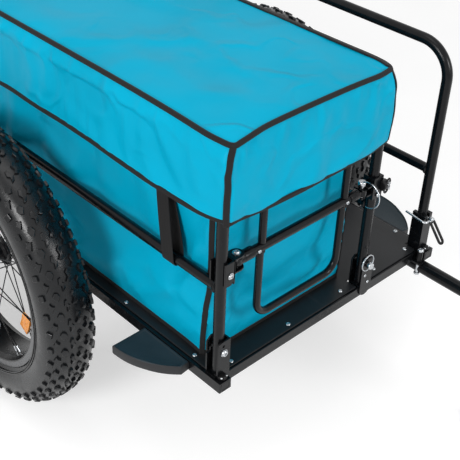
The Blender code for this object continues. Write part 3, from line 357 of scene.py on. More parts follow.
def tyre_rubber(name):
    """Black rubber, a little dusty in places and finely pitted."""
    finish = Finish(name, IOR=1.5, Specular_IOR_Level=0.36)
    grit = finish.noise(340.0, 4.0)
    dust = finish.noise(28.0, 4.0, 0.6).ramp(0.45, 0.75)
    base = finish.mix(dust * 0.5, (0.0028, 0.0034, 0.0044), (0.009, 0.0095, 0.0105))
    return finish.set(
        Base_Color=base, Roughness=0.27 + 0.14 * dust + 0.08 * (grit - 0.5),
        Normal=finish.bump(grit, 0.0003, 0.5)
    )


def pad_plastic(name, top, side):
    """The wheel pads' moulded skin: grained slate on top, with painted light making the sides paler
    grey.
    """
    finish = Finish(name, IOR=1.46, Specular_IOR_Level=0.22)
    # painted light: faces that point up take the slate top colour, faces that point sideways the
    # paler side colour
    facing = finish.node("ShaderNodeNewGeometry", output=1)
    upward = finish.parts_of(facing)[2].ramp(0.30, 0.80)
    grain = finish.noise(700.0, 3.0)
    cloud = finish.noise(18.0, 3.0).ramp(0.4, 0.7)
    pale = tuple(1.2 * part + 0.004 for part in top)
    face = finish.mix(cloud * 0.6, top, pale)
    return finish.set(
        Base_Color=finish.mix(upward, side, face), Roughness=0.48 + 0.15 * (grain - 0.5),
        Normal=finish.bump(grain, 0.0004, 0.45)
    )


def rim_paint(name):
    """The rim's satin paint: near black in its well, with a patchy pale grey painted reflection on
    its lip.
    """
    finish = Finish(name, IOR=1.5, Specular_IOR_Level=0.30)
    along, _, upward = finish.parts_of(finish.place())
    height = upward - GROUND_TO_AXLE
    reach = along - BED_MIDDLE
    from_axle = (reach * reach + height * height).root()
    # painted reflection: out near the lip the rim takes a pale grey that stands for the white
    # studio mirrored in it
    lip = from_axle.ramp(RIM_RADIUS - 0.0115, RIM_RADIUS - 0.0095)
    # rub here only makes the lip's painted reflection patchy
    rub = finish.noise(40.0, 4.0, 0.6).ramp(0.4, 0.7)
    pale = finish.mix(rub, (0.075, 0.077, 0.081), (0.105, 0.107, 0.112))
    return finish.set(
        Base_Color=finish.mix(lip, (0.0045, 0.0046, 0.0052), pale), Roughness=0.26 + 0.10 * rub,
        Normal=finish.bump(finish.noise(1100.0, 2.0), 0.0002, 0.3)
    )


def amber_lens(name):
    """Amber reflector plastic, small prisms under a clear face, with painted glints and a painted
    glow.
    """
    finish = Finish(name, IOR=1.49, Coat_Weight=0.6, Coat_Roughness=0.05)
    along, _, upward = finish.parts_of(finish.place())
    pitch = math.tau / 0.0032
    prism = (along * pitch).sine() * (upward * pitch).sine()
    # painted glints: the prism pattern lightens the base colour towards yellow where the prisms
    # would catch light
    shine = prism.ramp(-0.2, 0.9)
    return finish.set(
        Base_Color=finish.mix(shine, (0.90, 0.24, 0.008), (1.0, 0.52, 0.04)),
        Roughness=0.22 - 0.08 * shine,
        # painted glow: the emission colour follows the same prism glints, though the lens is no
        # lamp
        Emission_Color=finish.mix(shine, (0.26, 0.050, 0.0), (0.85, 0.36, 0.010)),
        Normal=finish.bump(prism, 0.0006, 0.6)
    )


def floor_sheet(name):
    """The bed's sheet: dark satin plastic with a fine even grain and light scuffs along the bed."""
    finish = Finish(name, IOR=1.5, Specular_IOR_Level=0.22)
    along, across, upward = finish.parts_of(finish.place())
    stretched = finish.node(
        "ShaderNodeCombineXYZ", {}, {"X": along * 0.15, "Y": across, "Z": upward}
    )
    scuff = finish.noise(60.0, 4.0, 0.7, stretched).ramp(0.60, 0.70)
    grain = finish.noise(1500.0, 2.0)
    cloud = finish.noise(6.0, 3.0).ramp(0.35, 0.7)
    base = finish.mix(cloud, (0.009, 0.010, 0.011), (0.015, 0.016, 0.018))
    base = finish.mix(scuff * 0.22, base, (0.045, 0.047, 0.050))
    return finish.set(
        Base_Color=base, Roughness=0.30 + 0.12 * grain + 0.1 * scuff,
        Normal=finish.bump(grain, 0.0002, 0.4)
    )


def make_finishes(look):
    coat = tuple(look.frame_colour)
    cloth = tuple(look.cloth_colour)
    return {
        COAT: powder_coat(COAT, coat), "rim_paint": rim_paint("satin_black_rim"),
        "hub_and_spoke_black": powder_coat("black_hub_and_spokes", (0.006, 0.006, 0.007)),
        "black_plastic": moulded("black_plastic", (0.0035, 0.0035, 0.004), 900.0, 0.34),
        # the pads' second colour is painted light on their sides
        "guard_plastic": pad_plastic(
            "slate_pad_plastic", (0.0145, 0.0255, 0.0325), (0.026, 0.027, 0.029)
        ), "floor_sheet": floor_sheet("dark_floor_sheet"),
        "zinc": bright_metal("bright_zinc", (0.50, 0.52, 0.54), 0.26),
        "axle_steel": bright_metal("axle_steel", (0.56, 0.56, 0.57), 0.32),
        "teal_cloth": polyester("teal_polyester", cloth),
        "webbing": webbing("black_webbing", tuple(look.tape_colour)),
        "tyre": tyre_rubber("tyre_rubber"), "amber_plastic": amber_lens("amber_lens")
    }


FINISHES = {}


def finish_for(slot):
    if not FINISHES:
        FINISHES.update(make_finishes(bpy.context.scene.trailer_look))
    return FINISHES[slot]


class Shape:
    """Collects the faces of one piece, with metres along and across each face as its UV map."""

    def __init__(self):
        self.points = []
        self.faces = []
        self.runs = []

    def grid(self, rows, around=False, looped=False, runs=None):
        """Faces between rows of points: around joins each row's ends, looped joins the last
        row to the first."""
        start, width = len(self.points), len(rows[0])
        for row in rows:
            self.points.extend(tuple(point) for point in row)
        if runs is None:
            runs = ([0.01 * i for i in range(len(rows) + 1)], [0.01 * i for i in range(width + 1)])
        along, across = runs
        for i in range(len(rows) if looped else len(rows) - 1):
            after = (i + 1) % len(rows)
            for j in range(width if around else width - 1):
                beside = (j + 1) % width
                corners = ((i, j), (i, beside), (after, beside), (after, j))
                self.faces.append(tuple(start + row * width + column for row, column in corners))
                u, v = (along[i], along[i + 1]), (across[j], across[j + 1])
                self.runs.append(((u[0], v[0]), (u[0], v[1]), (u[1], v[1]), (u[1], v[0])))
        return start

    def cap(self, indices):
        self.faces.append(tuple(indices))
        self.runs.append(tuple((self.points[i][0], self.points[i][1]) for i in indices))

    def loft(self, rows, runs=None):
        """Faces between closed rows, with a cap on the first and the last."""
        start, width = self.grid(rows, around=True, runs=runs), len(rows[0])
        last = start + (len(rows) - 1) * width
        self.cap([start + j for j in reversed(range(width))])
        self.cap([last + j for j in range(width)])

    def sweep(self, path, section, closed=False, up=None):
        """A section of (side, up) pairs carried along a path, turning with it as little as
        possible."""
        path = [Vector(point) for point in path]
        count = len(path)
        tangents = []
        for i in range(count):
            before = path[(i - 1) % count] if closed or i else path[i]
            after = path[(i + 1) % count] if closed or i < count - 1 else path[i]
            tangents.append((after - before).normalized())
        reference = Vector(up) if up is not None else tangents[0].orthogonal()
        rows = []
        lengths = [0.0]
        for i, (point, tangent) in enumerate(zip(path, tangents)):
            reference = reference - tangent * reference.dot(tangent)
            if reference.length < 1e-6:
                reference = tangent.orthogonal()
            reference.normalize()
            side = tangent.cross(reference)
            shape = section(i / max(1, count - 1)) if callable(section) else section
            rows.append([point + side * a + reference * b for a, b in shape])
            lengths.append(lengths[-1] + (path[(i + 1) % count] - point).length)
            if up is not None:
                reference = Vector(up)
        around = [0.0]
        for j in range(len(rows[0])):
            step = Vector(rows[0][(j + 1) % len(rows[0])]) - Vector(rows[0][j])
            around.append(around[-1] + step.length)
        if closed:
            self.grid(rows, around=True, looped=True, runs=(lengths, around))
        else:
            self.loft(rows, (lengths, around))

    def turn(self, profile, centre, axis, steps=32, closed=True):
        """A section of (radius, height along the axis) pairs turned about an axis. A third number
        of 6 makes it six-sided there."""
        axis = Vector(axis).normalized()
        first = axis.orthogonal().normalized()
        second = axis.cross(first)
        centre = Vector(centre)
        rows = []
        for step in range(steps):
            angle = math.tau * step / steps
            out = first * math.cos(angle) + second * math.sin(angle)
            six = math.cos(math.pi / 6) / math.cos(angle % (math.pi / 3) - math.pi / 6)
            row = []
            for radius, height, *sides in profile:
                row.append(centre + out * radius * (six if sides else 1.0) + axis * height)
            rows.append(row)
        across = [0.0]
        for j in range(len(profile)):
            a, b = profile[j], profile[(j + 1) % len(profile)]
            across.append(across[-1] + math.dist(a[:2], b[:2]))
        reach = max(radius for radius, *_ in profile)
        along = [math.tau * reach * i / steps for i in range(steps + 1)]
        start = self.grid(rows, around=closed, looped=True, runs=(along, across))
        if not closed:
            width = len(profile)
            self.cap([start + i * width for i in range(steps)])
            self.cap([start + i * width + width - 1 for i in reversed(range(steps))])

    def block(self, low, high):
        """A plain block between two corners."""
        low, high = Vector(low), Vector(high)
        x, y, z = zip(low, high)
        lower = [(x[0], y[0], z[0]), (x[1], y[0], z[0]), (x[1], y[1], z[0]), (x[0], y[1], z[0])]
        upper = [(a, b, z[1]) for a, b, _ in lower]
        self.loft([lower, upper])

    def plate(self, outline, place, across, upward, thickness):
        """A flat plate: an outline of (across, upward) pairs, with half its thickness each way."""
        across, upward = Vector(across), Vector(upward)
        normal = across.cross(upward)
        rows = []
        for side in (-0.5, 0.5):
            shift = Vector(place) + normal * side * thickness
            rows.append([shift + across * a + upward * b for a, b in outline])
        self.loft(rows)

    def make(
        self, name, slot, body, replaces=(), bevel=0.0, flat_above=40.0, finish=None, holes=()
    ):
        """The finished piece on its body, standing for the solids that it replaces. Each hole is
        a centre, an axis, a radius and half a depth."""
        mesh = bpy.data.meshes.new(name)
        mesh.from_pydata(self.points, [], self.faces)
        layer = mesh.uv_layers.new(name="run")
        layer.data.foreach_set("uv", [n for run in self.runs for pair in run for n in pair])
        mesh.materials.append(finish_for(finish or slot))
        made_sound(mesh)
        if holes:
            mesh = drilled(mesh, holes)
            mesh.name = name
        mesh.shade_smooth()
        mesh.set_sharp_from_angle(angle=math.radians(flat_above))
        piece = bpy.data.objects.new(name, mesh)
        bpy.context.scene.collection.objects.link(piece)
        if bevel:
            rounded(piece, bevel, 3, 32)
        return place(piece, slot, body, replaces)


def rounded(thing, width, segments, above):
    """A bevel on the edges that are sharper than an angle in degrees."""
    rounding = thing.modifiers.new("rounded_edges", "BEVEL")
    rounding.width = width
    rounding.segments = segments
    rounding.limit_method = "ANGLE"
    rounding.angle_limit = math.radians(above)


def made_sound(mesh):
    """Joins points that coincide, and turns every face outwards."""
    shape = bmesh.new()
    shape.from_mesh(mesh)
    bmesh.ops.remove_doubles(shape, verts=shape.verts, dist=0.000002)
    bmesh.ops.recalc_face_normals(shape, faces=shape.faces)
    shape.to_mesh(mesh)
    shape.free()


def drilled(mesh, holes):
    """A copy of a mesh with round holes cut through it."""
    solid = bpy.data.objects.new("solid", mesh)
    bits = Shape()
    for centre, axis, radius, half_depth in holes:
        bits.turn([(radius, -half_depth), (radius, half_depth)], centre, axis, 24, closed=False)
    data = bpy.data.meshes.new("bits")
    data.from_pydata(bits.points, [], bits.faces)
    made_sound(data)
    data.materials.append(mesh.materials[0])
    drill = bpy.data.objects.new("drill", data)
    for thing in (solid, drill):
        bpy.context.scene.collection.objects.link(thing)
    cutting = solid.modifiers.new("holes", "BOOLEAN")
    cutting.object = drill
    cutting.solver = "EXACT"
    cutting.use_self = True
    scene_now = bpy.context.evaluated_depsgraph_get()
    result = bpy.data.meshes.new_from_object(solid.evaluated_get(scene_now))
    for thing in (solid, drill):
        bpy.data.objects.remove(thing)
    return result


def place(piece, slot, body, replaces=()):
    """Puts a piece on its body and hides the solids that it stands for; slot is not used."""
    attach(piece, body)
    if replaces:
        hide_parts(*replaces)
    return piece


def ring(radius, sides):
    """The section of a round rod."""
    return [
        (radius * math.cos(math.tau * i / sides), radius * math.sin(math.tau * i / sides))
        for i in range(sides)
    ]


def mirrored(near):
    """A profile and its mirror image across the axle's middle."""
    return near + [(radius, -across) for radius, across in reversed(near)]


def upended(section):
    """A section with its two directions changed about."""
    return [(b, a) for a, b in section]


def tape(width, thickness):
    """The section of a flat tape, its width along the first number, with soft edges."""
    half_width, half = width / 2, thickness / 2
    soft = half * 0.9
    return [
        (half_width - soft, -half), (half_width, -half + soft), (half_width, half - soft),
        (half_width - soft, half), (0.0, half), (-half_width + soft, half),
        (-half_width, half - soft), (-half_width, -half + soft), (-half_width + soft, -half),
        (0.0, -half)
    ]


def bent(corners, bend, steps=10):
    """A path through corners, each inner one rounded to the radius bend."""
    path = [Vector(corners[0])]
    for before, corner, after in zip(corners, corners[1:], corners[2:]):
        corner = Vector(corner)
        back = (Vector(before) - corner).normalized()
        ahead = (Vector(after) - corner).normalized()
        half_angle = back.angle(ahead) / 2
        reach = bend / math.tan(half_angle)
        centre = corner + (back + ahead).normalized() * (bend / math.sin(half_angle))
        start = (corner + back * reach - centre).normalized()
        end = (corner + ahead * reach - centre).normalized()
        for step in range(steps + 1):
            path.append(centre + start.slerp(end, step / steps) * bend)
    path.append(Vector(corners[-1]))
    return path


def divided(path, step):
    """The path with extra points, so that none lie further apart than step."""
    fine = [Vector(path[0])]
    for point in path[1:]:
        gap = Vector(point) - fine[-1]
        parts = max(1, math.ceil(gap.length / step))
        first = fine[-1].copy()
        fine.extend(first + gap * (part + 1) / parts for part in range(parts))
    return fine


def button_head(shape, place, axis, radius=0.0066, height=0.0036, washer=0.0088):
    """A domed screw head with a six-sided socket, on a thin washer."""
    place, axis = Vector(place), Vector(axis).normalized()
    if washer:
        shape.turn(
            [(0.001, 0.0), (washer, 0.0), (washer, 0.0010), (0.001, 0.0010)], place, axis, 28
        )
    base = place + axis * (0.0009 if washer else 0.0)
    profile = [
        (0.0004, height * 0.45), (radius * 0.42, height * 0.45, 6),
        (radius * 0.44, height * 0.96, 6), (radius * 0.62, height), (radius * 0.84, height * 0.80),
        (radius * 0.97, height * 0.42), (radius, 0.0002), (radius * 0.9, 0.0)
    ]
    shape.turn(profile, base, axis, 36, closed=False)


def nut(shape, place, axis, radius, height):
    """A six-sided nut with its bolt's end in it."""
    profile = [
        (0.0004, height * 0.8), (radius * 0.5, height * 0.8), (radius * 0.56, height),
        (radius * 0.86, height), (radius, height * 0.82, 6), (radius, height * 0.12, 6),
        (radius * 0.9, 0.0)
    ]
    shape.turn(profile, place, axis, 36, closed=False)


def rounded_outline(x_low, x_high, y_low, y_high, radius, spacing):
    """Points and outward directions round a rectangle with round corners, evenly spaced."""
    corners = (
        (x_high - radius, y_high - radius, 0), (x_low + radius, y_high - radius, 1),
        (x_low + radius, y_low + radius, 2), (x_high - radius, y_low + radius, 3)
    )
    points = []
    for number, (x, y, quarter) in enumerate(corners):
        steps = 5
        for step in range(steps + 1):
            angle = (quarter + step / steps) * math.pi / 2
            out = Vector((math.cos(angle), math.sin(angle), 0.0))
            points.append((Vector((x, y, 0.0)) + out * radius, out))
        last, out = points[-1]
        nx, ny, nq = corners[(number + 1) % 4]
        angle = nq * math.pi / 2
        target = Vector((nx + radius * math.cos(angle), ny + radius * math.sin(angle), 0.0))
        parts = max(1, round((target - last).length / spacing))
        for part in range(1, parts):
            points.append((last.lerp(target, part / parts), out))
    return points


def rough(point, scale, seed=0.0):
    """Smooth noise from -1 to 1 at a point, the same on each run."""
    return noise.noise(Vector(point) * scale + Vector((seed, seed * 0.7, seed * 1.3)))


def dress(name, finish):
    """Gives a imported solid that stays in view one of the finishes."""
    solid = frame["nodes"][name]
    solid.data.materials.clear()
    solid.data.materials.append(finish_for(finish))


def dress_all():
    """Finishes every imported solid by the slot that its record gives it."""
    for row in frame["record"]["subparts"]:
        dress(row["node"], row["material_slot"])


def soften_edges():
    """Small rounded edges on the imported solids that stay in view."""
    for solid in frame["nodes"].values():
        if solid.hide_render:
            continue
        joined = solid.modifiers.new("joined_faces", "WELD")
        joined.merge_threshold = 0.00001
        rounded(solid, 0.0012, 2, 40)


def rail_plug(shape, place, outward, half_side, half_height):
    """A moulded plug with a raised rim in the end of a square tube."""
    outward = Vector(outward)
    up = Vector(UPWARD)
    side = up.cross(outward)
    outline = rounded_outline(-half_side, half_side, -half_height, half_height, 0.003, 0.02)
    flat = [point for point, _ in outline]
    rows = []
    for shrink, rise in ((1.0, 0.0), (1.0, 0.0012), (0.90, 0.0022), (0.72, 0.0022), (0.66, 0.0012)):
        centre = Vector(place) + outward * rise
        rows.append([centre + side * point.x * shrink + up * point.y * shrink for point in flat])
    shape.loft(rows)


def make_rail_plugs():
    """The plugs in the side rails' ends, and the knobs beside them."""
    plugs = Shape()
    half_side, half_height = RAIL_WIDTH / 2 - 0.0016, (RAIL_TOP - RAIL_BOTTOM) / 2 - 0.0016
    middle = (RAIL_TOP + RAIL_BOTTOM) / 2
    for sign in (-1, 1):
        rail_y = sign * (HALF_BED - RAIL_WIDTH / 2)
        low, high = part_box("side_rail_right" if sign < 0 else "side_rail_left")
        for x, way in ((high.x - 0.0018, 1), (low.x + 0.0018, -1)):
            rail_plug(plugs, (x, rail_y, middle), (way, 0.0, 0.0), half_side, half_height)
    plugs.make("rail_end_plugs", COAT, FRAME, finish=PLASTIC)
    make_corner_knobs()


def hoop_shape(y, foot):
    """A bent hoop with a brace between its legs and a weld round each end of the brace."""
    shape = Shape()
    corners = (
        (FRONT_POST, y, foot), (FRONT_POST, y, HOOP_TOP), (REAR_POST, y, HOOP_TOP),
        (REAR_POST, y, foot)
    )
    path = divided(bent(corners, HOOP_BEND, 16), 0.15)
    shape.sweep(path, ring(POST_RADIUS, 28), up=LEFTWARD)
    brace = BRACE_RADIUS
    ends = ((FRONT_POST, -1), (REAR_POST, 1))
    across = [(x + way * 0.004, y, HOOP_BRACE) for x, way in ends]
    shape.sweep(across, ring(brace, 28), up=LEFTWARD)
    for x, way in ends:
        bead = [
            (brace - 0.001, 0.0045), (brace + 0.0011, 0.0040), (brace + 0.0022, 0.0022),
            (brace + 0.0026, -0.0004), (brace - 0.001, -0.0030)
        ]
        shape.turn(bead, (x + way * POST_RADIUS * 0.72, y, HOOP_BRACE), (way, 0.0, 0.0), 36)
    return shape


def make_hoops():
    """The three bent hoops, each on the body that carries it."""
    for name, y, body in (
        ("hoop_right", RIGHT_HOOP, FRAME), ("hoop_inner", INNER_HOOP, FRAME),
        ("hoop_board_rack", RACK_HOOP, "board_rack")
    ):
        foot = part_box(name)[0].z
        hoop_shape(y, foot).make(f"{name}_tubing", COAT, body, [name])


def gate_loop(shape, x, legs, high, low):
    """A bent rod with two legs, from high to low and back."""
    corners = ((x, legs[0], high), (x, legs[0], low), (x, legs[1], low), (x, legs[1], high))
    path = divided(bent(corners, GATE_BEND, 12), 0.12)
    shape.sweep(path, ring(GATE_TUBE, 20), up=AHEAD)


def make_gate(end, x, way):
    """A gate: its rail with an eye at each end, a loop below and a loop above."""
    body = f"{end}_gate"
    lower = Shape()
    rail = [(x, y, GATE_RAIL) for y in (HINGE_Y + 0.015, LATCH_Y - 0.015)]
    lower.sweep(rail, ring(GATE_RADIUS, 24), up=UPWARD)
    for y, inward in ((HINGE_Y, 1), (LATCH_Y, -1)):
        eye = [
            (0.0045, 0.0060), (0.0088, 0.0060), (0.0100, 0.0048), (0.0100, -0.0048),
            (0.0088, -0.0060), (0.0045, -0.0060)
        ]
        lower.turn(eye, (x, y, GATE_RAIL), UPWARD, 32)
        low_y, high_y = sorted((y + inward * 0.0070, y + inward * 0.0200))
        lower.block(
            (x - 0.0064, low_y, GATE_RAIL - 0.0056), (x + 0.0064, high_y, GATE_RAIL + 0.0056)
        )
        collar = [
            (GATE_RADIUS - 0.001, 0.0), (0.0092, 0.0), (0.0100, 0.0010), (0.0100, 0.0210),
            (0.0092, 0.0220), (GATE_RADIUS - 0.001, 0.0220)
        ]
        lower.turn(collar, (x, y + inward * 0.0118, GATE_RAIL), (0.0, inward, 0.0), 32)
    sleeve = [
        (0.0052, -0.0080), (0.0090, -0.0080), (0.0098, -0.0070), (0.0098, 0.0120), (0.0052, 0.0120)
    ]
    lower.turn(sleeve, (x, HINGE_Y, GATE_RAIL), LEFTWARD, 32)
    gate_loop(lower, x, (GATE_RIGHT_LEG, GATE_LEFT_LEG), GATE_RAIL, GATE_LOW)
    for y in (GATE_RIGHT_LEG, GATE_LEFT_LEG):
        bead = [
            (GATE_TUBE - 0.001, 0.004), (GATE_TUBE + 0.0014, 0.0026), (GATE_TUBE + 0.0018, 0.0002),
            (GATE_TUBE - 0.001, -0.003)
        ]
        lower.turn(bead, (x, y, GATE_RAIL - GATE_RADIUS * 0.8), (0.0, 0.0, -1.0), 28)
    lower.make(f"{end}_gate_rail_and_loop", COAT, body, [f"{end}_gate_frame"], bevel=0.0008)
    foot = GATE_RAIL + GATE_RADIUS + 0.0003
    upper = Shape()
    gate_loop(upper, x, (GATE_RIGHT_LEG + 0.003, GATE_LEFT_LEG + 0.003), foot, GATE_HIGH)
    upper.make(f"{end}_gate_hoop", COAT, body, [f"{end}_gate_upper_loop"])
    rivets = Shape()
    for y in (GATE_RIGHT_LEG - 0.009, GATE_LEFT_LEG + 0.004):
        spot = (x + way * GATE_RADIUS * 0.96, y, GATE_RAIL)
        button_head(rivets, spot, (way, 0.0, 0.0), 0.0034, 0.0022, 0.0)
    rivets.make(f"{end}_gate_rivets", "zinc", body)


def rounded_tab(width, length, steps=9):
    """A tab's outline: straight from (0, 0) on, with a round end about its hole at the length."""
    half = width / 2
    outline = [(-half, 0.0), (half, 0.0)]
    for step in range(steps + 1):
        angle = math.pi * step / steps
        outline.append((half * math.cos(angle), length + half * math.sin(angle)))
    return outline


def folded_plate(shape, x, y, low, high, level, flanges, floor=None):
    """A web across the inner side of a post, with a flange beside the post for each outline,
    measured from level, and a bottom plate from floor to the web."""
    wall, inside = PLATE_WALL, PLATE_INSIDE
    shape.block((x - inside - wall, y - wall / 2, low), (x + inside + wall, y + wall / 2, high))
    if floor is not None:
        shape.block((x - inside, floor, low), (x + inside, y, low + wall))
    for outline, side in flanges:
        spot = (x + side * (inside + wall / 2), y + wall / 2, level)
        shape.plate(outline, spot, LEFTWARD, UPWARD, wall)


def make_hinge_bracket(end, x, way):
    """A plate folded round three sides of the right post, open to the outside, with two ears
    that hold the gate's bolt."""
    web_y = RIGHT_HOOP + 0.0150
    front = [(-0.0205, -0.0294), (-0.0070, -0.0294), (0.0, -0.0190), (0.0, EAR_TOP)]
    front.append((-0.0205, EAR_TOP))
    back = [(-0.0275, -0.0220), (-0.0200, -0.0294), (0.0, -0.0294), (0.0, EAR_TOP)]
    back.append((-0.0275, EAR_TOP))
    bracket = Shape()
    low, high = GATE_RAIL - 0.0294, GATE_RAIL + EAR_TOP
    folded_plate(bracket, x, web_y, low, high, GATE_RAIL, ((front, way), (back, -way)))
    tab = rounded_tab(0.024, HINGE_Y - web_y)
    for ear_z in (GATE_RAIL + EAR_TOP - PLATE_WALL / 2, GATE_RAIL - EAR_TOP + PLATE_WALL / 2):
        bracket.plate(tab, (x, web_y, ear_z), AHEAD, LEFTWARD, PLATE_WALL)
    name = f"{end}_gate_hinge_plate"
    bracket.make(name, COAT, FRAME, [f"{end}_hinge_bracket"], bevel=0.0005)


def make_right_foot(end, x, way):
    """The channel that holds the right post's foot: open to the outside, with a spare hole and a
    notched back flange."""
    low, tall = FOOT_LOW, 0.073
    web_y = RIGHT_HOOP + PLATE_INSIDE + PLATE_WALL / 2
    front = [(-0.0262, 0.0), (0.0, 0.0), (0.0, tall), (-0.0190, tall), (-0.0240, tall - 0.002)]
    front.append((-0.0262, tall - 0.007))
    back = [(-0.0275, 0.0), (0.0, 0.0), (0.0, tall), (-0.0190, tall), (-0.0275, tall - 0.008)]
    back += [(-0.0275, 0.046), (-0.0225, 0.046), (-0.0225, 0.052), (-0.0200, 0.052)]
    back += [(-0.0200, 0.040), (-0.0275, 0.040)]
    foot = Shape()
    flanges = ((front, way), (back, -way))
    folded_plate(foot, x, web_y, low, low + tall, low, flanges, RIGHT_HOOP - 0.0150)
    face = x + way * (PLATE_INSIDE + PLATE_WALL / 2)
    spare = ((face, RIGHT_HOOP - 0.001, low + 0.0635), AHEAD, 0.0026, 0.004)
    replaced = [f"post_foot_right_{end}"]
    foot.make(f"{end}_right_foot_channel", COAT, FRAME, replaced, bevel=0.0005, holes=[spare])


def make_inner_foot(end, x, way):
    """The inner post's foot: a channel whose front flange is a round-ended plate that reaches
    down over the cross rail's face."""
    low, tall = FOOT_LOW, 0.060
    web_y = INNER_HOOP + PLATE_INSIDE + PLATE_WALL / 2
    back = [(-0.0262, 0.0), (0.0, 0.0), (0.0, tall), (-0.0190, tall), (-0.0262, tall - 0.007)]
    foot = Shape()
    folded_plate(foot, x, web_y, low, low + tall, low, ((back, -way),), INNER_HOOP - 0.0120)
    radius, drop = 0.0150, 0.0055
    outline = [(radius, tall - 0.004), (radius - 0.004, tall), (-radius + 0.006, tall)]
    outline.append((-radius, tall - 0.006))
    for step in range(13):
        angle = math.pi + math.pi * step / 12
        outline.append((radius * math.cos(angle), -drop + radius * math.sin(angle)))
    face = (BED_FRONT if way > 0 else BED_REAR) - way * 0.0124
    foot.plate(outline, (face, INNER_HOOP + 0.002, low), LEFTWARD, UPWARD, 0.0026)
    replaced = [f"post_foot_inner_{end}"]
    foot.make(f"{end}_inner_foot_channel", COAT, FRAME, replaced, bevel=0.0005)
    rivets = Shape()
    for y, z in ((-0.004, 0.026), (0.006, 0.008)):
        spot = (face + way * 0.0013, INNER_HOOP + y, low + z)
        button_head(rivets, spot, (way, 0.0, 0.0), 0.0030, 0.002, 0.0)
    rivets.make(f"{end}_inner_foot_rivets", "zinc", FRAME)


def make_corner_knobs():
    """Moulded thumb knobs on the side rails' ends, each with two small screws."""
    for side, y in (("right", -0.266), ("left", 0.266)):
        knobs, screws = Shape(), Shape()
        for x, way in ((BED_FRONT - 0.010, 1), (BED_REAR + 0.010, -1)):
            profile = [
                (0.0004, 0.0), (0.0078, 0.0), (0.0084, 0.0012), (0.0084, 0.0042), (0.0070, 0.0064),
                (0.0036, 0.0074), (0.0004, 0.0076)
            ]
            knobs.turn(profile, (x, y, RAIL_TOP), UPWARD, 12, closed=False)
            knobs.block(
                (x - 0.012, y - 0.0075, RAIL_TOP), (x + 0.004, y + 0.0075, RAIL_TOP + 0.0042)
            )
            for shift in (-0.0055, 0.0050):
                spot = (x + 0.0045 * way, y + shift, RAIL_TOP + 0.0048)
                button_head(screws, spot, UPWARD, 0.0020, 0.0018, 0.0)
        knobs.make(f"{side}_rail_knobs", COAT, FRAME, bevel=0.0010, finish=PLASTIC)
        screws.make(f"{side}_rail_knob_screws", "zinc", FRAME)


def make_latch_plunger(end, x, way):
    """The plunger beside the latch: a moulded cap, its finger loop and a small spring."""
    cap, spring = Shape(), Shape()
    x, y, z = x + way * 0.0130, INNER_HOOP + 0.0060, GATE_RAIL + 0.003
    profile = [
        (0.0004, 0.0), (0.0088, 0.0), (0.0100, 0.0012), (0.0100, 0.0110), (0.0090, 0.0122),
        (0.0064, 0.0128), (0.0064, 0.0160), (0.0050, 0.0170), (0.0004, 0.0170)
    ]
    cap.turn(profile, (x, y, z), LEFTWARD, 32, closed=False)
    loop = []
    for step in range(28):
        angle = math.tau * step / 28
        out, aside = 0.0020 * math.sin(angle), 0.0060 * math.cos(angle)
        rise = 0.0150 * math.sin(angle)
        loop.append(Vector((x + way * (0.004 + out), y + 0.0125 + aside, z - 0.003 + rise)))
    cap.sweep(loop, ring(0.0017, 12), closed=True, up=AHEAD)
    cap.make(f"{end}_latch_plunger", COAT, FRAME, finish=PLASTIC)
    coil = []
    for step in range(73):
        angle = math.tau * step / 12
        out, aside = 0.0026 * math.cos(angle), 0.0026 * math.sin(angle)
        coil.append(Vector((x + way * 0.0085 + out, y + 0.0100 + aside, z - 0.006 + 0.0002 * step)))
    spring.sweep(coil, ring(0.0005, 8))
    spring.make(f"{end}_latch_spring", "zinc", FRAME)


def make_gate_fittings(end, x, way):
    """The bolt that the gate turns on, its hinge bracket, the bracket screws and the plunger."""
    bolt = Shape()
    top = GATE_RAIL + EAR_TOP
    bolt.turn(
        [(0.0005, -0.016), (0.0036, -0.016), (0.0036, 0.015), (0.0005, 0.015)],
        (x, HINGE_Y, GATE_RAIL), UPWARD, 24, closed=False
    )
    button_head(bolt, (x, HINGE_Y, top), UPWARD, 0.0048, 0.0030, 0.0068)
    nut(bolt, (x, HINGE_Y, GATE_RAIL - EAR_TOP), (0.0, 0.0, -1.0), 0.0060, 0.0042)
    bolt.make(f"{end}_gate_pivot_bolt", "zinc", FRAME, [f"{end}_hinge_bolt"])
    screws = Shape()
    face = x + way * (POST_RADIUS + 0.0042)
    button_head(
        screws, (face, RIGHT_HOOP + 0.0070, 0.5030), (way, 0.0, 0.0), 0.0044, 0.0024, 0.0056
    )
    button_head(screws, (face, INNER_HOOP, 0.5010), (way, 0.0, 0.0), 0.0040, 0.0026, 0.0)
    screws.make(f"{end}_bracket_screws", "zinc", FRAME)
    make_hinge_bracket(end, x, way)
    make_latch_plunger(end, x, way)


def turned_pin(shape, tail, head):
    """The steel of a locking pin from its chamfered tail to its collared head."""
    along = (head - tail).normalized()
    length = (head - tail).length
    profile = [
        (0.0003, 0.0), (0.0026, 0.0), (0.0040, 0.0022), (0.0040, length - 0.001),
        (0.0060, length - 0.001), (0.0068, length), (0.0068, length + 0.0058),
        (0.0058, length + 0.0070), (0.0003, length + 0.0070)
    ]
    shape.turn(profile, tail, along, 32, closed=False)
    return head + along * 0.003


def bow_pin(shape, tail, head, way):
    """A lynch pin: its wire bow springs from the head and hangs in front of the tube."""
    middle = turned_pin(shape, Vector(tail), Vector(head))
    reach, radius = 0.0160, 0.0235
    centre = middle + Vector((way * reach, 0.0, -reach))
    path = []
    for step in range(57):
        angle = math.radians(136.0 - 232.0 * step / 56)
        path.append(centre + Vector((way * math.cos(angle), 0.0, math.sin(angle))) * radius)
    shape.sweep(path, ring(0.00115, 12), up=LEFTWARD)


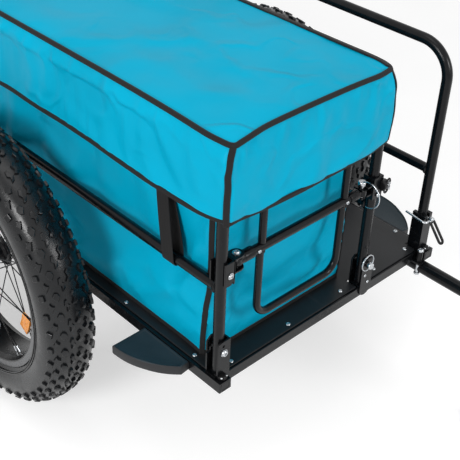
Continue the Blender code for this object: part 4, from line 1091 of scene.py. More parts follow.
def ring_pin(shape, tail, head, ring_centre, ring_radius):
    """A locking pin: a turned head, a small lug and a split ring that hangs in it."""
    ring_centre = Vector(ring_centre)
    middle = turned_pin(shape, Vector(tail), Vector(head))
    towards = middle - ring_centre
    towards.x = 0.0
    towards.normalize()
    lug_end = ring_centre + towards * ring_radius
    shape.sweep([middle, lug_end], ring(0.0024, 16))
    first = math.atan2(towards.z, towards.y)
    turns, steps = 1.9, 96
    path = []
    for step in range(steps + 1):
        share = step / steps
        angle = first + math.tau * turns * share
        drift = (share - 0.5) * 0.0020
        out = Vector((0.0, math.cos(angle), math.sin(angle))) * ring_radius
        path.append(ring_centre + out + Vector((drift, 0.0, 0.0)))
    shape.sweep(path, ring(0.00085, 10), up=AHEAD)


def make_ring_pins():
    """The gates' latch pins and the inner hoop's foot pins."""
    for end, x, way in ENDS:
        latch = Shape()
        bow_pin(latch, (x, LATCH_Y, GATE_RAIL - 0.015), (x, LATCH_Y, GATE_RAIL + 0.0135), way)
        latch.make(
            f"{end}_latch_pin_with_ring", "zinc", f"{end}_latch_pin", [f"{end}_latch_ring_pin"]
        )
        foot = Shape()
        pin_z = FOOT_PIN_Z
        ring_pin(
            foot, (x - way * 0.016, INNER_HOOP, pin_z), (x + way * 0.017, INNER_HOOP, pin_z),
            (x + way * 0.0215, INNER_HOOP - 0.0100, pin_z + 0.0120), 0.0155
        )
        foot.make(f"{end}_foot_pin_with_ring", "zinc", f"foot_pin_{end}", [f"foot_ring_pin_{end}"])


def make_rack_pins():
    """The board rack's locking pins, each with a wire bail and a moulded pull."""
    pin_z = RACK_PIN_Z
    for end, x, way in ENDS:
        head_x = x + way * 0.018
        pin = Shape()
        tail = x - way * 0.019
        reach = abs(head_x - tail)
        profile = [
            (0.0003, 0.0), (0.0030, 0.0), (0.0040, 0.0016), (0.0040, reach - 0.001),
            (0.0058, reach - 0.001), (0.0065, reach), (0.0065, reach + 0.0060),
            (0.0056, reach + 0.0070), (0.0003, reach + 0.0070)
        ]
        pin.turn(profile, (tail, RACK_HOOP, pin_z), (way, 0.0, 0.0), 32, closed=False)
        bail_y = RACK_HOOP - 0.019
        corners = (
            (head_x + way * 0.003, RACK_HOOP, pin_z), (head_x + way * 0.003, bail_y, pin_z + 0.001),
            (x - way * 0.024, bail_y, pin_z + 0.006)
        )
        pin.sweep(bent(corners, 0.006, 10), ring(0.0023, 14), up=UPWARD)
        pin.make(
            f"{end}_rack_pin_with_bail", "zinc", f"rack_pin_{end}", [f"rack_locking_pin_{end}"]
        )
        pull = Shape()
        half_length, half_width = 0.0240, 0.0052
        tilt = math.radians(40)
        along = Vector((way * math.sin(tilt), 0.0, -math.cos(tilt)))
        centre = Vector((head_x + way * 0.0040, RACK_HOOP, pin_z)) + along * 0.0235
        path = []
        for side, start in ((1, -90), (-1, 90)):
            for step in range(13):
                angle = math.radians(start + 180 * step / 12)
                out = side * (half_length - half_width) + half_width * math.cos(angle)
                path.append(centre + along * out + Vector((0.0, half_width * math.sin(angle), 0.0)))
        pull.sweep(path, ring(0.0026, 14), closed=True)
        pull.make(f"{end}_rack_pin_pull", COAT, f"rack_pin_{end}", finish=PLASTIC)


def make_post_bolts():
    """The bolts through the right hoop's feet, and the feet of both fixed hoops."""
    bolt_z = FOOT_PIN_Z
    for end, x, way in ENDS:
        bolt = Shape()
        bolt.turn(
            [(0.0004, -0.015), (0.0037, -0.015), (0.0037, 0.015), (0.0004, 0.015)],
            (x, RIGHT_HOOP, bolt_z), AHEAD, 20, closed=False
        )
        button_head(
            bolt, (x + way * 0.0137, RIGHT_HOOP, bolt_z), (way, 0.0, 0.0), 0.0060, 0.0036, 0.0068
        )
        nut(bolt, (x - way * 0.0137, RIGHT_HOOP, bolt_z), (-way, 0.0, 0.0), 0.0060, 0.0042)
        bolt.make(f"{end}_foot_bolt", "zinc", FRAME, [f"post_bolt_{end}"])
        make_right_foot(end, x, way)
        make_inner_foot(end, x, way)


def make_floor():
    """The screws that hold the floor sheet down."""
    screws = Shape()
    front = (
        (0.1737, -0.2307), (0.1717, -0.0938), (0.1712, 0.0423), (0.1688, 0.1381), (0.1678, 0.2324),
        (0.1193, 0.2721), (-0.0550, -0.2690), (0.1239, -0.2694)
    )
    spots = list(front) + [(2 * BED_MIDDLE - x, y) for x, y in front]
    for x, y in spots:
        inward = min(HALF_BED - 0.0145, abs(y))
        centre = (x, math.copysign(inward, y), DECK - 0.0002)
        button_head(screws, centre, UPWARD, 0.0042, 0.0018, 0.0)
    screws.make("floor_screws", "zinc", FRAME)


def guard_outline(sign):
    """The pad in plan: straight along the rail and a round outer corner."""
    inner = HALF_BED + 0.0003
    rear, front, reach, bulge = 0.013, 0.126, 0.070, 0.150
    nose = inner + 0.0166
    chord = Vector((0.128 - rear, nose - (HALF_BED + reach)))
    rise = math.sqrt(bulge**2 - (chord.length / 2) ** 2)
    middle = Vector(((0.128 + rear) / 2, (nose + HALF_BED + reach) / 2))
    centre = middle + Vector((chord.y, -chord.x)).normalized() * rise
    first = math.atan2(HALF_BED + reach - centre.y, rear - centre.x)
    last = math.atan2(nose - centre.y, 0.128 - centre.x)
    outline = [Vector((rear, inner))]
    for step in range(25):
        angle = first + (last - first) * step / 24
        outline.append(centre + Vector((math.cos(angle), math.sin(angle))) * bulge)
    outline.append(Vector((front, inner)))
    return [Vector((point.x, sign * point.y)) for point in outline]


def make_guards():
    """The slate pads ahead of the wheels: a thick moulded edge and a slightly dished top."""
    low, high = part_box("wheel_guard_right")
    for side, sign in (("right", -1), ("left", 1)):
        outline = guard_outline(sign)
        centre = sum(outline, Vector((0.0, 0.0))) / len(outline)
        rows = []
        edge = 0.0035
        levels = [(0.0025, low.z), (0.0008, low.z + 0.0008), (0.0, low.z + 0.0026)]
        levels += [(0.0, high.z - 0.0030), (0.0007, high.z - 0.0010), (0.0022, high.z)]
        levels += [(edge + 0.0016, high.z), (edge + 0.0032, high.z - 0.0012)]
        levels += [(edge + 0.0060, high.z - 0.0015)]
        for inset, z in levels:
            row = []
            for point in outline:
                inward = centre - point
                row.append((*(point + inward.normalized() * inset), z))
            rows.append(row)
        pad = Shape()
        pad.loft(rows)
        replaced = [f"wheel_guard_{side}"]
        pad.make(f"{side}_wheel_pad", "guard_plastic", FRAME, replaced, flat_above=50)


TYRE_SECTION = (
    (0.0, 0.2885), (0.0120, 0.2880), (0.0235, 0.2855), (0.0335, 0.2795), (0.0415, 0.2700),
    (0.0468, 0.2580), (0.0490, 0.2450), (0.0482, 0.2325), (0.0445, 0.2220), (0.0400, 0.2150),
    (0.0368, 0.2112)
)


def tyre_point(distance, lift):
    """Place across and out from the axle at a distance along the tyre's section from its crown."""
    side = -1 if distance < 0 else 1
    left = abs(distance)
    for (a, ra), (b, rb) in zip(TYRE_SECTION, TYRE_SECTION[1:]):
        length = math.hypot(b - a, rb - ra)
        if left <= length:
            break
        left -= length
    share = min(1.0, left / length)
    out = Vector((-(rb - ra), b - a)).normalized()
    across = a + (b - a) * share + out.x * lift
    return side * across, ra + (rb - ra) * share + out.y * lift


# outlines of the tread's knobs, and for each row: kind, distance from the crown, number, phase,
# length and width
KNOBS = {
    "brow": (
        (-0.5, -0.32), (-0.16, -0.06), (0.18, -0.34), (0.5, -0.05), (0.42, 0.30), (0.06, 0.18),
        (-0.24, 0.42), (-0.5, 0.12)
    ), "leaf": ((-0.5, 0.0), (-0.18, -0.42), (0.26, -0.5), (0.5, -0.05), (0.3, 0.40), (-0.12, 0.5)),
    "star": (
        (-0.5, -0.2), (-0.12, -0.26), (0.1, -0.5), (0.24, -0.16), (0.5, 0.02), (0.2, 0.22),
        (0.04, 0.5), (-0.2, 0.26)
    ), "block": ((-0.42, -0.5), (0.42, -0.5), (0.5, 0.0), (0.42, 0.5), (-0.42, 0.5), (-0.5, 0.0))
}
KNOB_ROWS = (
    ("brow", 0.0, 46, 0.0, 0.0240, 0.0140), ("brow", 0.0150, 46, 0.5, 0.0230, 0.0125),
    ("leaf", 0.0285, 46, 0.0, 0.0185, 0.0120), ("star", 0.0410, 46, 0.5, 0.0185, 0.0130),
    ("block", 0.0535, 46, 0.0, 0.0125, 0.0110)
)


def make_tread(tyre, centre, height, chance):
    """Rows of small moulded knobs round the crown and shoulders."""
    for kind, distance, count, phase, long, wide in KNOB_ROWS:
        for side in (-1, 1) if distance else (1,):
            for number in range(count):
                middle = math.tau * (number + phase + (0.25 if side < 0 else 0.0)) / count
                twist = math.radians(chance.uniform(-9, 9) + (18 if kind != "block" else 0) * side)
                size = chance.uniform(0.92, 1.08)
                rows = []
                for lift, draft in ((-0.0012, 1.06), (height * 0.85, 0.94), (height, 0.80)):
                    row = []
                    for u, v in KNOBS[kind]:
                        a = (u * math.cos(twist) - v * math.sin(twist)) * long * size * draft
                        b = (u * math.sin(twist) + v * math.cos(twist)) * wide * size * draft
                        across, radius = tyre_point(side * distance + b, lift)
                        angle = middle + a / TYRE_SECTION[0][1]
                        out = Vector((math.cos(angle), 0.0, math.sin(angle))) * radius
                        row.append(centre + out + Vector((0.0, across, 0.0)))
                    rows.append(row)
                start = tyre.grid(rows, around=True)
                width = len(rows[0])
                tyre.cap([start + 2 * width + j for j in range(width)])


def make_tyre(side, sign, centre, height):
    """The tyre's hollow section, its moulded rings and its tread."""
    tyre = Shape()
    outer = [(radius, across) for across, radius in reversed(TYRE_SECTION)]
    outer += [(radius, -across) for across, radius in TYRE_SECTION[1:]]
    inner = [(0.2106, -0.0325), (0.2160, -0.0335), (0.2300, -0.0440), (0.2800, -0.0240)]
    tyre.turn(outer + mirrored(inner), centre, LEFTWARD, WHEEL_STEPS)
    for across in (-1, 1):
        for radius, rise in ((0.2165, 0.0011), (0.2205, 0.0008), (0.2610, 0.0007)):
            reach = next(a for a, r in reversed(TYRE_SECTION) if r >= radius)
            bead = [
                (radius + 0.0012, reach - 0.001), (radius + 0.0009, reach + rise),
                (radius - 0.0009, reach + rise), (radius - 0.0012, reach - 0.001)
            ]
            tyre.turn([(r, across * a) for r, a in bead], centre, LEFTWARD, WHEEL_STEPS)
    make_tread(tyre, centre, height, random.Random(7 + sign))
    tyre.make(f"{side}_tyre_with_tread", "tyre", f"{side}_wheel", [f"tyre_{side}"], flat_above=32)


def make_rim(side, centre):
    """The rim: two lips and a shallow well between them."""
    rim = Shape()
    half, lip, barrel = RIM_HALF_WIDTH, RIM_RADIUS, RIM_WELL
    near = [
        (lip + 0.0012, half - 0.0005), (lip + 0.0004, half), (lip - 0.0090, half),
        (barrel + 0.0052, half - 0.0012), (barrel + 0.0016, half - 0.0085), (barrel, half - 0.0105)
    ]
    profile = mirrored(near) + [(lip - 0.008, -half + 0.005), (lip - 0.008, half - 0.005)]
    rim.turn(profile, centre, LEFTWARD, WHEEL_STEPS)
    rim.make(f"{side}_wheel_rim", "rim_paint", f"{side}_wheel", [f"rim_{side}"], flat_above=30)


SPOKE_HEAD = ((0.0002, -0.0011), (0.0016, -0.0008), (0.0021, 0.0), (0.0002, 0.0004))
NIPPLE = (
    (0.0003, -0.003), (0.0026, -0.003), (0.0026, 0.0008), (0.0020, 0.0016), (0.0019, 0.0110),
    (0.0013, 0.0122), (0.0003, 0.0122)
)


def spoke_ends(side_of_hub, number, lean):
    """A spoke's bend at the hub and its end at the rim, from the wheel's centre."""
    start = math.tau * (number + 0.25 * side_of_hub) / SPOKES_PER_SIDE
    end = start + lean * math.radians(SPOKE_SWEEP)
    hub = Vector((math.cos(start), 0.0, math.sin(start))) * (FLANGE_RADIUS - 0.0030)
    rim = Vector((math.cos(end), 0.0, math.sin(end))) * RIM_WELL
    hub.y = side_of_hub * FLANGE_OFFSET + lean * 0.0024
    rim.y = side_of_hub * 0.010 + lean * 0.0008
    return hub, rim


def make_spokes(side, centre):
    """Crossed spokes with their elbows in the hub's flanges, and a nipple on each at the rim."""
    spokes, nipples = Shape(), Shape()
    for side_of_hub in (-1, 1):
        for number in range(SPOKES_PER_SIDE):
            lean = 1 if number % 2 else -1
            hub, rim = spoke_ends(side_of_hub, number, lean)
            head = hub - Vector((0.0, lean * 0.0052, 0.0))
            path = [centre + point for point in bent((head, hub, rim), 0.0022, 5)]
            spokes.sweep(path, ring(SPOKE_RADIUS, 8))
            spokes.turn(SPOKE_HEAD, centre + head, (0.0, lean, 0.0), 12, closed=False)
            nipples.turn(NIPPLE, centre + rim, hub - rim, 14, closed=False)
    hub = Shape()
    half, flange = HUB_HALF_WIDTH, FLANGE_OFFSET
    near = [
        (0.0066, half), (0.0112, half), (0.0120, half - 0.0008), (0.0122, half - 0.0050),
        (0.0135, flange + 0.0050), (0.0185, flange + 0.0022),
        (FLANGE_RADIUS - 0.0008, flange + 0.0016), (FLANGE_RADIUS, flange + 0.0008),
        (FLANGE_RADIUS, flange - 0.0008), (FLANGE_RADIUS - 0.0008, flange - 0.0016),
        (0.0195, flange - 0.0026), (HUB_RADIUS, flange - 0.0070),
        (HUB_RADIUS - 0.0004, flange - 0.0080)
    ]
    hub.turn(mirrored(near), centre, LEFTWARD, 64)
    body = f"{side}_wheel"
    hub.make(f"{side}_hub_shell", "hub_and_spoke_black", body, [f"hub_and_spokes_{side}"])
    spokes.make(f"{side}_spokes", "hub_and_spoke_black", body, [f"hub_and_spokes_{side}"])
    nipples.make(f"{side}_spoke_nipples", "zinc", body)


def make_reflector(side, centre):
    """The amber reflector: a ribbed lens, slightly curved and thinner towards its edge."""
    angle, tilt = math.radians(REFLECTOR_ANGLE), math.radians(REFLECTOR_TILT)
    away = Vector((math.cos(angle), 0.0, -math.sin(angle)))
    middle = centre + away * REFLECTOR_FROM_AXLE
    radial = Vector((math.cos(tilt), 0.0, -math.sin(tilt)))
    tangent = Vector((math.sin(tilt), 0.0, math.cos(tilt)))
    outline = []
    for radius, start, end in ((0.163, -8.6, 8.6), (0.139, 7.8, -7.8)):
        for step in range(7):
            turn = math.radians(start + (end - start) * step / 6)
            outline.append((radius * math.cos(turn) - 0.151, radius * math.sin(turn)))
    lens, rows = Shape(), []
    for shrink, across in ((0.80, -0.003), (1.0, -0.0022), (1.0, 0.0022), (0.80, 0.003)):
        shift = middle + Vector((0.0, across, 0.0))
        rows.append([shift + (radial * a + tangent * b) * shrink for a, b in outline])
    lens.loft(rows)
    replaced = [f"spoke_reflector_{side}"]
    lens.make(f"{side}_spoke_reflector_lens", "amber_plastic", f"{side}_wheel", replaced)


def make_axle(side, sign):
    """The push-button stub axle: a stepped rod, a knurled head and its button."""
    low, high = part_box(f"stub_axle_{side}")
    inner = low.y if sign > 0 else -high.y
    outer = (high.y if sign > 0 else -low.y) - inner
    profile = [
        (0.0003, 0.0), (0.0045, 0.0), (0.0060, 0.0020), (0.0060, outer - 0.0102),
        (0.0110, outer - 0.0100), (0.0125, outer - 0.0086), (0.0125, outer - 0.0030),
        (0.0112, outer - 0.0016), (0.0062, outer - 0.0012), (0.0056, outer - 0.0018),
        (0.0050, outer - 0.0018), (0.0048, outer - 0.0004), (0.0038, outer), (0.0003, outer)
    ]
    foot = (BED_MIDDLE, sign * inner, GROUND_TO_AXLE)
    axle = Shape()
    axle.turn(profile, foot, (0.0, sign, 0.0), 48, closed=False)
    axle.make(f"{side}_push_button_axle", "axle_steel", FRAME, [f"stub_axle_{side}"])


def hang(name, rows, held, slack, most):
    """The closed rows of a cloth after it has sagged for a while under its own weight. held gives
    how fast a point is sewn, from 0 to 1. The cloth is cut larger than its place by slack, rests
    against the two fixed hoops, and no point ends further than most from where it was."""
    width = len(rows[0])
    faces = []
    for i in range(len(rows) - 1):
        for j in range(width):
            low, beside = i * width + j, i * width + (j + 1) % width
            faces.append((low, beside, beside + width, low + width))
    mesh = bpy.data.meshes.new(name)
    mesh.from_pydata([tuple(point) for row in rows for point in row], [], faces)
    cloth = bpy.data.objects.new(name, mesh)
    scene = bpy.context.scene
    scene.collection.objects.link(cloth)
    sewn = cloth.vertex_groups.new(name="sewn")
    for i in range(len(rows)):
        for j in range(width):
            sewn.add([i * width + j], held(i, j), "REPLACE")
    sagging = cloth.modifiers.new("sagging", "CLOTH")
    settings = sagging.settings
    settings.quality = 8
    settings.mass = 0.12
    settings.tension_stiffness = settings.compression_stiffness = 22.0
    settings.shear_stiffness = 8.0
    settings.bending_stiffness = 1.2
    settings.air_damping = 5.0
    settings.shrink_min = -slack
    settings.vertex_group_mass = "sewn"
    sagging.collision_settings.distance_min = 0.0015
    sagging.point_cache.frame_end = SAG_FRAMES
    guards = [bpy.data.objects[f"hoop_{side}_tubing"] for side in ("right", "inner")]
    stops = [(guard, guard.modifiers.new("stop", "COLLISION")) for guard in guards]
    for guard, _ in stops:
        guard.collision.thickness_outer = 0.001
    for number in range(1, SAG_FRAMES + 1):
        scene.frame_set(number)
    sagged = cloth.evaluated_get(bpy.context.evaluated_depsgraph_get()).data
    moves = [sagged.vertices[i].co - mesh.vertices[i].co for i in range(len(mesh.vertices))]
    for guard, stop in stops:
        guard.modifiers.remove(stop)
    bpy.data.objects.remove(cloth)
    scene.frame_set(1)
    result = []
    for i, row in enumerate(rows):
        moved = []
        for j, point in enumerate(row):
            move = moves[i * width + j]
            moved.append(point + move * min(1.0, most / max(move.length, 1e-9)))
        result.append(moved)
    return result


def softened(path):
    """A path with its small kinks taken out and its ends kept."""
    path = [Vector(point) for point in path]
    for _ in range(2):
        middle = [
            (before + point * 2 + after) / 4 for before, point,
            after in zip(path, path[1:], path[2:])
        ]
        path = [path[0], *middle, path[-1]]
    return path


def travelled(path):
    """The distance along a path at each of its points."""
    far = [0.0]
    for before, after in zip(path, path[1:]):
        far.append(far[-1] + (after - before).length)
    return far


def finer(rows):
    """Closed rows with a point and a row added half way between each two, on smooth curves."""

    def between(a, b, c, d):
        return (b + c) * 0.5625 - (a + d) * 0.0625

    width = len(rows[0])
    wide = []
    for row in rows:
        full = []
        for j in range(width):
            full.append(row[j])
            full.append(between(row[j - 1], row[j], row[(j + 1) % width], row[(j + 2) % width]))
        wide.append(full)
    result = []
    last = len(wide) - 1
    for i, row in enumerate(wide):
        result.append(row)
        if i < last:
            before, after, beyond = wide[max(0, i - 1)], wide[i + 1], wide[min(last, i + 2)]
            result.append([between(*four) for four in zip(before, row, after, beyond)])
    return result


def evened(row, rounds):
    """A closed row with its small waves taken out."""
    count = len(row)
    for _ in range(rounds):
        row = [(row[j - 1] + row[j] * 2 + row[(j + 1) % count]) / 4 for j in range(count)]
    return row


def level_at(height):
    """How far the tub's ends draw in and its right side bulges at a height above its foot."""
    for (low, *lower), (high, *upper) in zip(TUB_LEVELS, TUB_LEVELS[1:]):
        if height <= high:
            share = (height - low) / (high - low)
            share = share * share * (3 - 2 * share)
            return [a + (b - a) * share for a, b in zip(lower, upper)]
    return TUB_LEVELS[-1][1:]


def tub_row(points, height):
    """The tub's outline at a height above its foot, with soft upright folds pressed into it."""
    inset, bulge = level_at(height)
    share = height / (TUB_RIM - TUB_FLOOR)
    middle_x, half_x = (TUB_FRONT + TUB_REAR) / 2, (TUB_FRONT - TUB_REAR) / 2
    depth = bpy.context.scene.trailer_look.fold_depth
    swell = min(1.0, max(0.0, share - 0.03) / 0.12) * (1.0 - 0.55 * share)
    row = []
    for (point, out), far in zip(points, travelled([point for point, _ in points])):
        from_corner = math.hypot(
            max(0.0, half_x - abs(point.x - middle_x)),
            max(0.0, min(point.y - TUB_RIGHT, TUB_LEFT - point.y))
        )
        near = math.exp(-((from_corner / 0.030) ** 2))
        rightness = (TUB_LEFT - point.y) / (TUB_LEFT - TUB_RIGHT)
        x = middle_x + (point.x - middle_x) * (half_x - inset - 0.004 * near * rightness) / half_x
        y = point.y - (bulge + 0.003 * near * bulge / 0.009) * rightness
        fold = rough((far * 11.0 + share * 2.0, share * 1.6, 3.0), 1.0)
        fold += 0.5 * rough((far * 27.0 - share * 3.0, share * 3.2, 9.0), 1.0)
        broad = rough((far * 2.6, share * 0.9, 5.0), 1.0)
        ridge = 0.20 - abs(rough((far * 6.0 - height * 7.0, height * 4.0, 11.0), 1.0))
        inward = depth * (0.2 + 1.1 * fold + 0.9 * broad) - 0.022 * max(0.0, ridge)
        inward = max(-0.0042, inward * swell * (1.0 - near))
        row.append(Vector((x, y, TUB_FLOOR + height)) - out * inward)
    return row


def make_tub():
    """The open fabric tub: a sewn shell that hangs between the hoops, with a wired rim."""
    tall = TUB_RIM - TUB_FLOOR
    levels = [0.0, 0.005, 0.011] + [
        tall * step / 32 for step in range(2, 32)
    ] + [tall - 0.004, tall]
    points = rounded_outline(TUB_REAR, TUB_FRONT, TUB_RIGHT, TUB_LEFT, TUB_CORNER, 0.011)
    width, last = len(points), len(levels) - 1
    corners = [corner_index(points, corner) for corner in range(4)]
    beside = {(index + step) % width for index in corners for step in (-1, 0, 1)}

    def held(i, j):
        if i in (0, 1, 2, last):
            return 1.0
        near_foot = {3: 0.9, 4: 0.5}.get(i, 0.0)
        return max(near_foot, 0.6 if i == last - 1 or j in beside else 0.0)

    rest = [tub_row(points, height) for height in levels]
    outer = hang("tub_cloth", rest, held, TUB_SLACK, TUB_SAG)
    wall = TUB_WALL
    inner = []
    for row in reversed(outer):
        inner.append(
            [
                place - out * wall + Vector((0.0, 0.0, wall if place.z < TUB_FLOOR + wall else 0.0))
                for place, (_, out) in zip(row, points)
            ]
        )
    shell = Shape()
    rows = outer + inner
    along = travelled([row[0] for row in rows])
    across = [0.011 * j for j in range(width + 1)]
    shell.loft(rows, (along + [along[-1]], across))
    shell.make("fabric_tub_shell", "teal_cloth", FRAME, ["fabric_tub"], flat_above=60)
    binding = Shape()
    lift = Vector((0.0, 0.0, 0.0046))
    base = [spot + lift for spot in outer[0]]
    binding.sweep(base, upended(tape(0.0094, 0.0034)), closed=True, up=UPWARD)
    sunk = Vector((0.0, 0.0, 0.0030))
    rim = [spot - sunk - out * wall / 2 for spot, (_, out) in zip(outer[-1], points)]
    binding.sweep(rim, upended(tape(0.0080, 0.0044)), closed=True, up=UPWARD)
    for index in corners:
        out = points[index][1]
        path = softened([row[index] + out * 0.0008 for row in outer])
        binding.sweep(path, tape(0.0092, 0.0030), up=out)
    binding.make("fabric_tub_binding", "webbing", FRAME)


def corner_index(points, corner):
    """The point whose outward direction is nearest to the middle of a corner."""
    middle = math.radians(45 + 90 * corner)
    target = Vector((math.cos(middle), math.sin(middle), 0.0))
    return max(range(len(points)), key=lambda index: points[index][1].dot(target))


def make_straps():
    """Two webbing loops that tie the tub to the right hoop's brace. Each goes down inside the
    brace and comes up slanting outside it, wider than it is sewn."""
    section = upended(tape(0.0275, 0.0017))
    reach = BRACE_RADIUS + 0.0025
    for end, start, way in (("front", 0.040, 1), ("rear", 2 * BED_MIDDLE - 0.040, -1)):
        web = Shape()
        inner_top = Vector((start - way * 0.0290, -0.2488, 0.6700))
        outer_top = Vector((start - way * 0.0240, -0.2492, 0.6760))
        low_x = start + way * 0.0255
        inner_low = Vector((low_x - way * 0.002, -0.2500, HOOP_BRACE + 0.012))
        outer_low = Vector((low_x, RIGHT_HOOP - reach, HOOP_BRACE + 0.004))
        path = []
        for step in range(11):
            share = step / 11
            spot = inner_top.lerp(inner_low, share)
            spot.y += 0.0010 * math.sin(math.pi * share)
            path.append(spot)
        for step in range(13):
            angle = math.pi * step / 12
            under = Vector((0.0, math.cos(angle), -math.sin(angle))) * reach
            path.append(Vector((low_x, RIGHT_HOOP, HOOP_BRACE)) + under)
        for step in range(14):
            share = step / 13
            spot = outer_low.lerp(outer_top, share)
            spot.y -= 0.0030 * math.sin(math.pi * share) * (1.0 - share)
            path.append(spot)
        web.sweep(softened(path), section, up=AHEAD)
        web.make(f"{end}_tub_strap_webbing", "webbing", FRAME, [f"tub_strap_{end}"])


def lid_side(side, spacing=0.010):
    """Points along one side of the lid, from the middle of one corner to the middle of the next,
    each with its outward direction and its distance from the nearer corner."""
    low = Vector((LID_REAR, LID_RIGHT, 0.0))
    high = Vector((LID_FRONT, LID_LEFT, 0.0))
    corners = {
        "front": ((high.x, low.y), (high.x, high.y), (1, 0)),
        "left": ((high.x, high.y), (low.x, high.y), (0, 1)),
        "rear": ((low.x, high.y), (low.x, low.y), (-1, 0)),
        "right": ((low.x, low.y), (high.x, low.y), (0, -1))
    }
    start, end, out = (Vector((*pair, 0.0)) for pair in corners[side])
    along = (end - start).normalized()
    turn = LID_CORNER
    points = []
    for step in range(4):
        angle = math.radians(45 + 15 * step)
        push = -along * math.cos(angle) + out * math.sin(angle)
        points.append((start + (along - out + push) * turn, push))
    flat = (end - start).length - 2 * turn
    parts = round(flat / spacing)
    for part in range(1, parts):
        points.append((start + along * (turn + flat * part / parts), out))
    for step in range(4):
        angle = math.radians(90 - 15 * step)
        push = along * math.cos(angle) + out * math.sin(angle)
        points.append((end + (push - along - out) * turn, push))
    return [
        (place, push, min((place - start).length, (place - end).length)) for place, push in points
    ]


def eased(distance, start, reach):
    """0 up to start, then rising towards 1 over about the reach."""
    return 1.0 - math.exp(-max(0.0, distance - start) / reach)


def lid_seam(side, place, distance):
    """Where the top's edge runs: the cloth is drawn in along the sides, and over each hoop's bend
    its corner is pulled in and dips."""
    ahead = 1 if place.x > BED_MIDDLE else -1
    near = math.exp(-((distance / 0.030) ** 1.6))
    right = place.y < (LID_RIGHT + LID_LEFT) / 2
    if right:
        shift = Vector((0.0036 * ahead, 0.0107, -0.0052)) * near
    else:
        shift = Vector((-0.0067 * ahead, -0.0088, -0.0012)) * near
    if side == "right":
        shift.y += 0.0085 * eased(distance, 0.035, 0.09)
    elif side == "left":
        shift.y -= 0.0050 * eased(distance, 0.020, 0.05)
    else:
        swell = 0.0022 * math.exp(-(((distance - 0.035) / 0.022) ** 2)) if right else 0.0
        shift.x -= (0.0045 * eased(distance, 0.055, 0.04) - swell) * ahead
    return place + shift + Vector((0.0, 0.0, LID_SEAM))


def lid_hem(side, place, distance):
    """Where the hem hangs: it rises a little at the corners and towards the long sides' middle."""
    ahead = 1 if place.x > BED_MIDDLE else -1
    near = math.exp(-((distance / 0.025) ** 2))
    if side in ("front", "rear"):
        height = 0.5935 + 0.0085 * math.exp(-distance / 0.06)
    else:
        height = 0.5945 + 0.0120 * math.exp(-distance / 0.055) + 0.0200 * max(0.0, distance - 0.15)
    shift = Vector((0.0, 0.0, height))
    if place.y < (LID_RIGHT + LID_LEFT) / 2:
        shift += Vector((0.0054 * ahead, 0.0023, 0.0)) * near
    return place + shift


def lid_rest(side, place, out, distance, share):
    """A point of the skirt as it is cut and sewn, at a share of the way from seam to hem."""
    seam, hem = lid_seam(side, place, distance), lid_hem(side, place, distance)
    height = seam.z + (hem.z - seam.z) * share
    drop = seam.z - height
    drawn = math.exp(-drop / 0.022)
    spot = hem.lerp(seam, drawn)
    spot.z = height
    free = min(1.0, distance / 0.05)
    belly = 0.0030 * math.sin(math.pi * share) + 0.0030 * share * free
    wave = rough((place.x, place.y, height), 5.0, 2.0) * 0.0040 * share * free
    dent = rough((place.x, place.y, height), 17.0, 6.0) * 0.0016 * min(1.0, drop / 0.02)
    return spot + out * (belly + wave + dent)


def lid_creases(side, place, distance, drop, tall):
    """How far the skirt stands proud in its small creases: pleats that fan down from the seam,
    crumples near the corners and a few long slanting folds."""
    travel = place.y if side in ("front", "rear") else place.x
    pleat = 0.0
    for number in range(28):
        middle = -0.86 + number * 0.041 + 0.012 * rough((number * 3.7, 0.0, 0.0), 1.0, 2.0)
        size = 0.0026 * max(0.0, 0.55 + rough((number * 1.9, 4.0, 0.0), 1.0, 7.0))
        lean = 0.30 * rough((number * 2.3, 8.0, 0.0), 1.0, 5.0)
        gap = travel - middle - lean * drop
        width = 0.0030 + 0.10 * drop
        if gap > 0:
            width *= 2.4
        pleat += size * math.exp(-((gap / width) ** 2))
    pleat *= math.exp(-(((drop - 0.020) / 0.022) ** 2))
    ridge = 0.22 - abs(rough((place.x * 1.3, place.y * 1.3, drop * 1.1), 26.0, 9.0))
    crumple = 0.0075 * ridge * math.exp(-distance / 0.06) * math.exp(
        -(((drop - 0.025) / 0.035) ** 2)
    )
    slant = 0.16 - abs(rough((travel + drop * 0.9, drop * 0.6, 3.0), 9.0, 12.0))
    fold = 0.0060 * max(0.0, slant) * math.sin(math.pi * min(1.0, drop / tall))
    return 1.5 * (pleat + crumple + fold)


def lid_cloth(rows=16):
    """The skirt's points, row by row from seam to hem and once round the lid."""
    points = [(side, *point) for side in SIDES for point in lid_side(side)[:-1]]
    rest = [[lid_rest(*point, step / rows) for point in points] for step in range(rows + 1)]
    width = len(points)
    corners = [index for index, point in enumerate(points) if point[3] < LID_CORNER * 0.43]
    beside = {(index + step) % width for index in corners for step in (-1, 0, 1)}

    def held(i, j):
        sewn = (1.0, 0.7, 0.35)[i] if i < 3 else (0.0, 0.2, 0.5)[max(0, i - rows + 2)]
        return max(sewn, 0.5 if j in beside else 0.0)

    sagged = hang("lid_cloth", rest, held, LID_SLACK, LID_SAG)
    for number, share in ((rows, 1.0), (rows - 1, 0.6), (rows - 2, 0.25)):
        moves = evened([after - before for after, before in zip(sagged[number], rest[number])], 10)
        sagged[number] = [
            point.lerp(cut + move, share)
            for point, cut, move in zip(sagged[number], rest[number], moves)
        ]
    cloth = finer(sagged)
    fine = []
    for index, point in enumerate(points):
        after = points[(index + 1) % width]
        fine.append(point)
        middle = (point[2] + after[2]).normalized()
        fine.append((point[0], point[1].lerp(after[1], 0.5), middle, (point[3] + after[3]) / 2))
    for j, (side, place, out, distance) in enumerate(fine):
        seam, tall = cloth[0][j].z, cloth[0][j].z - cloth[-1][j].z
        for row in cloth[1:-1]:
            drop = seam - row[j].z
            row[j] = row[j] + out * lid_creases(side, place, distance, drop, tall)
    return cloth, fine


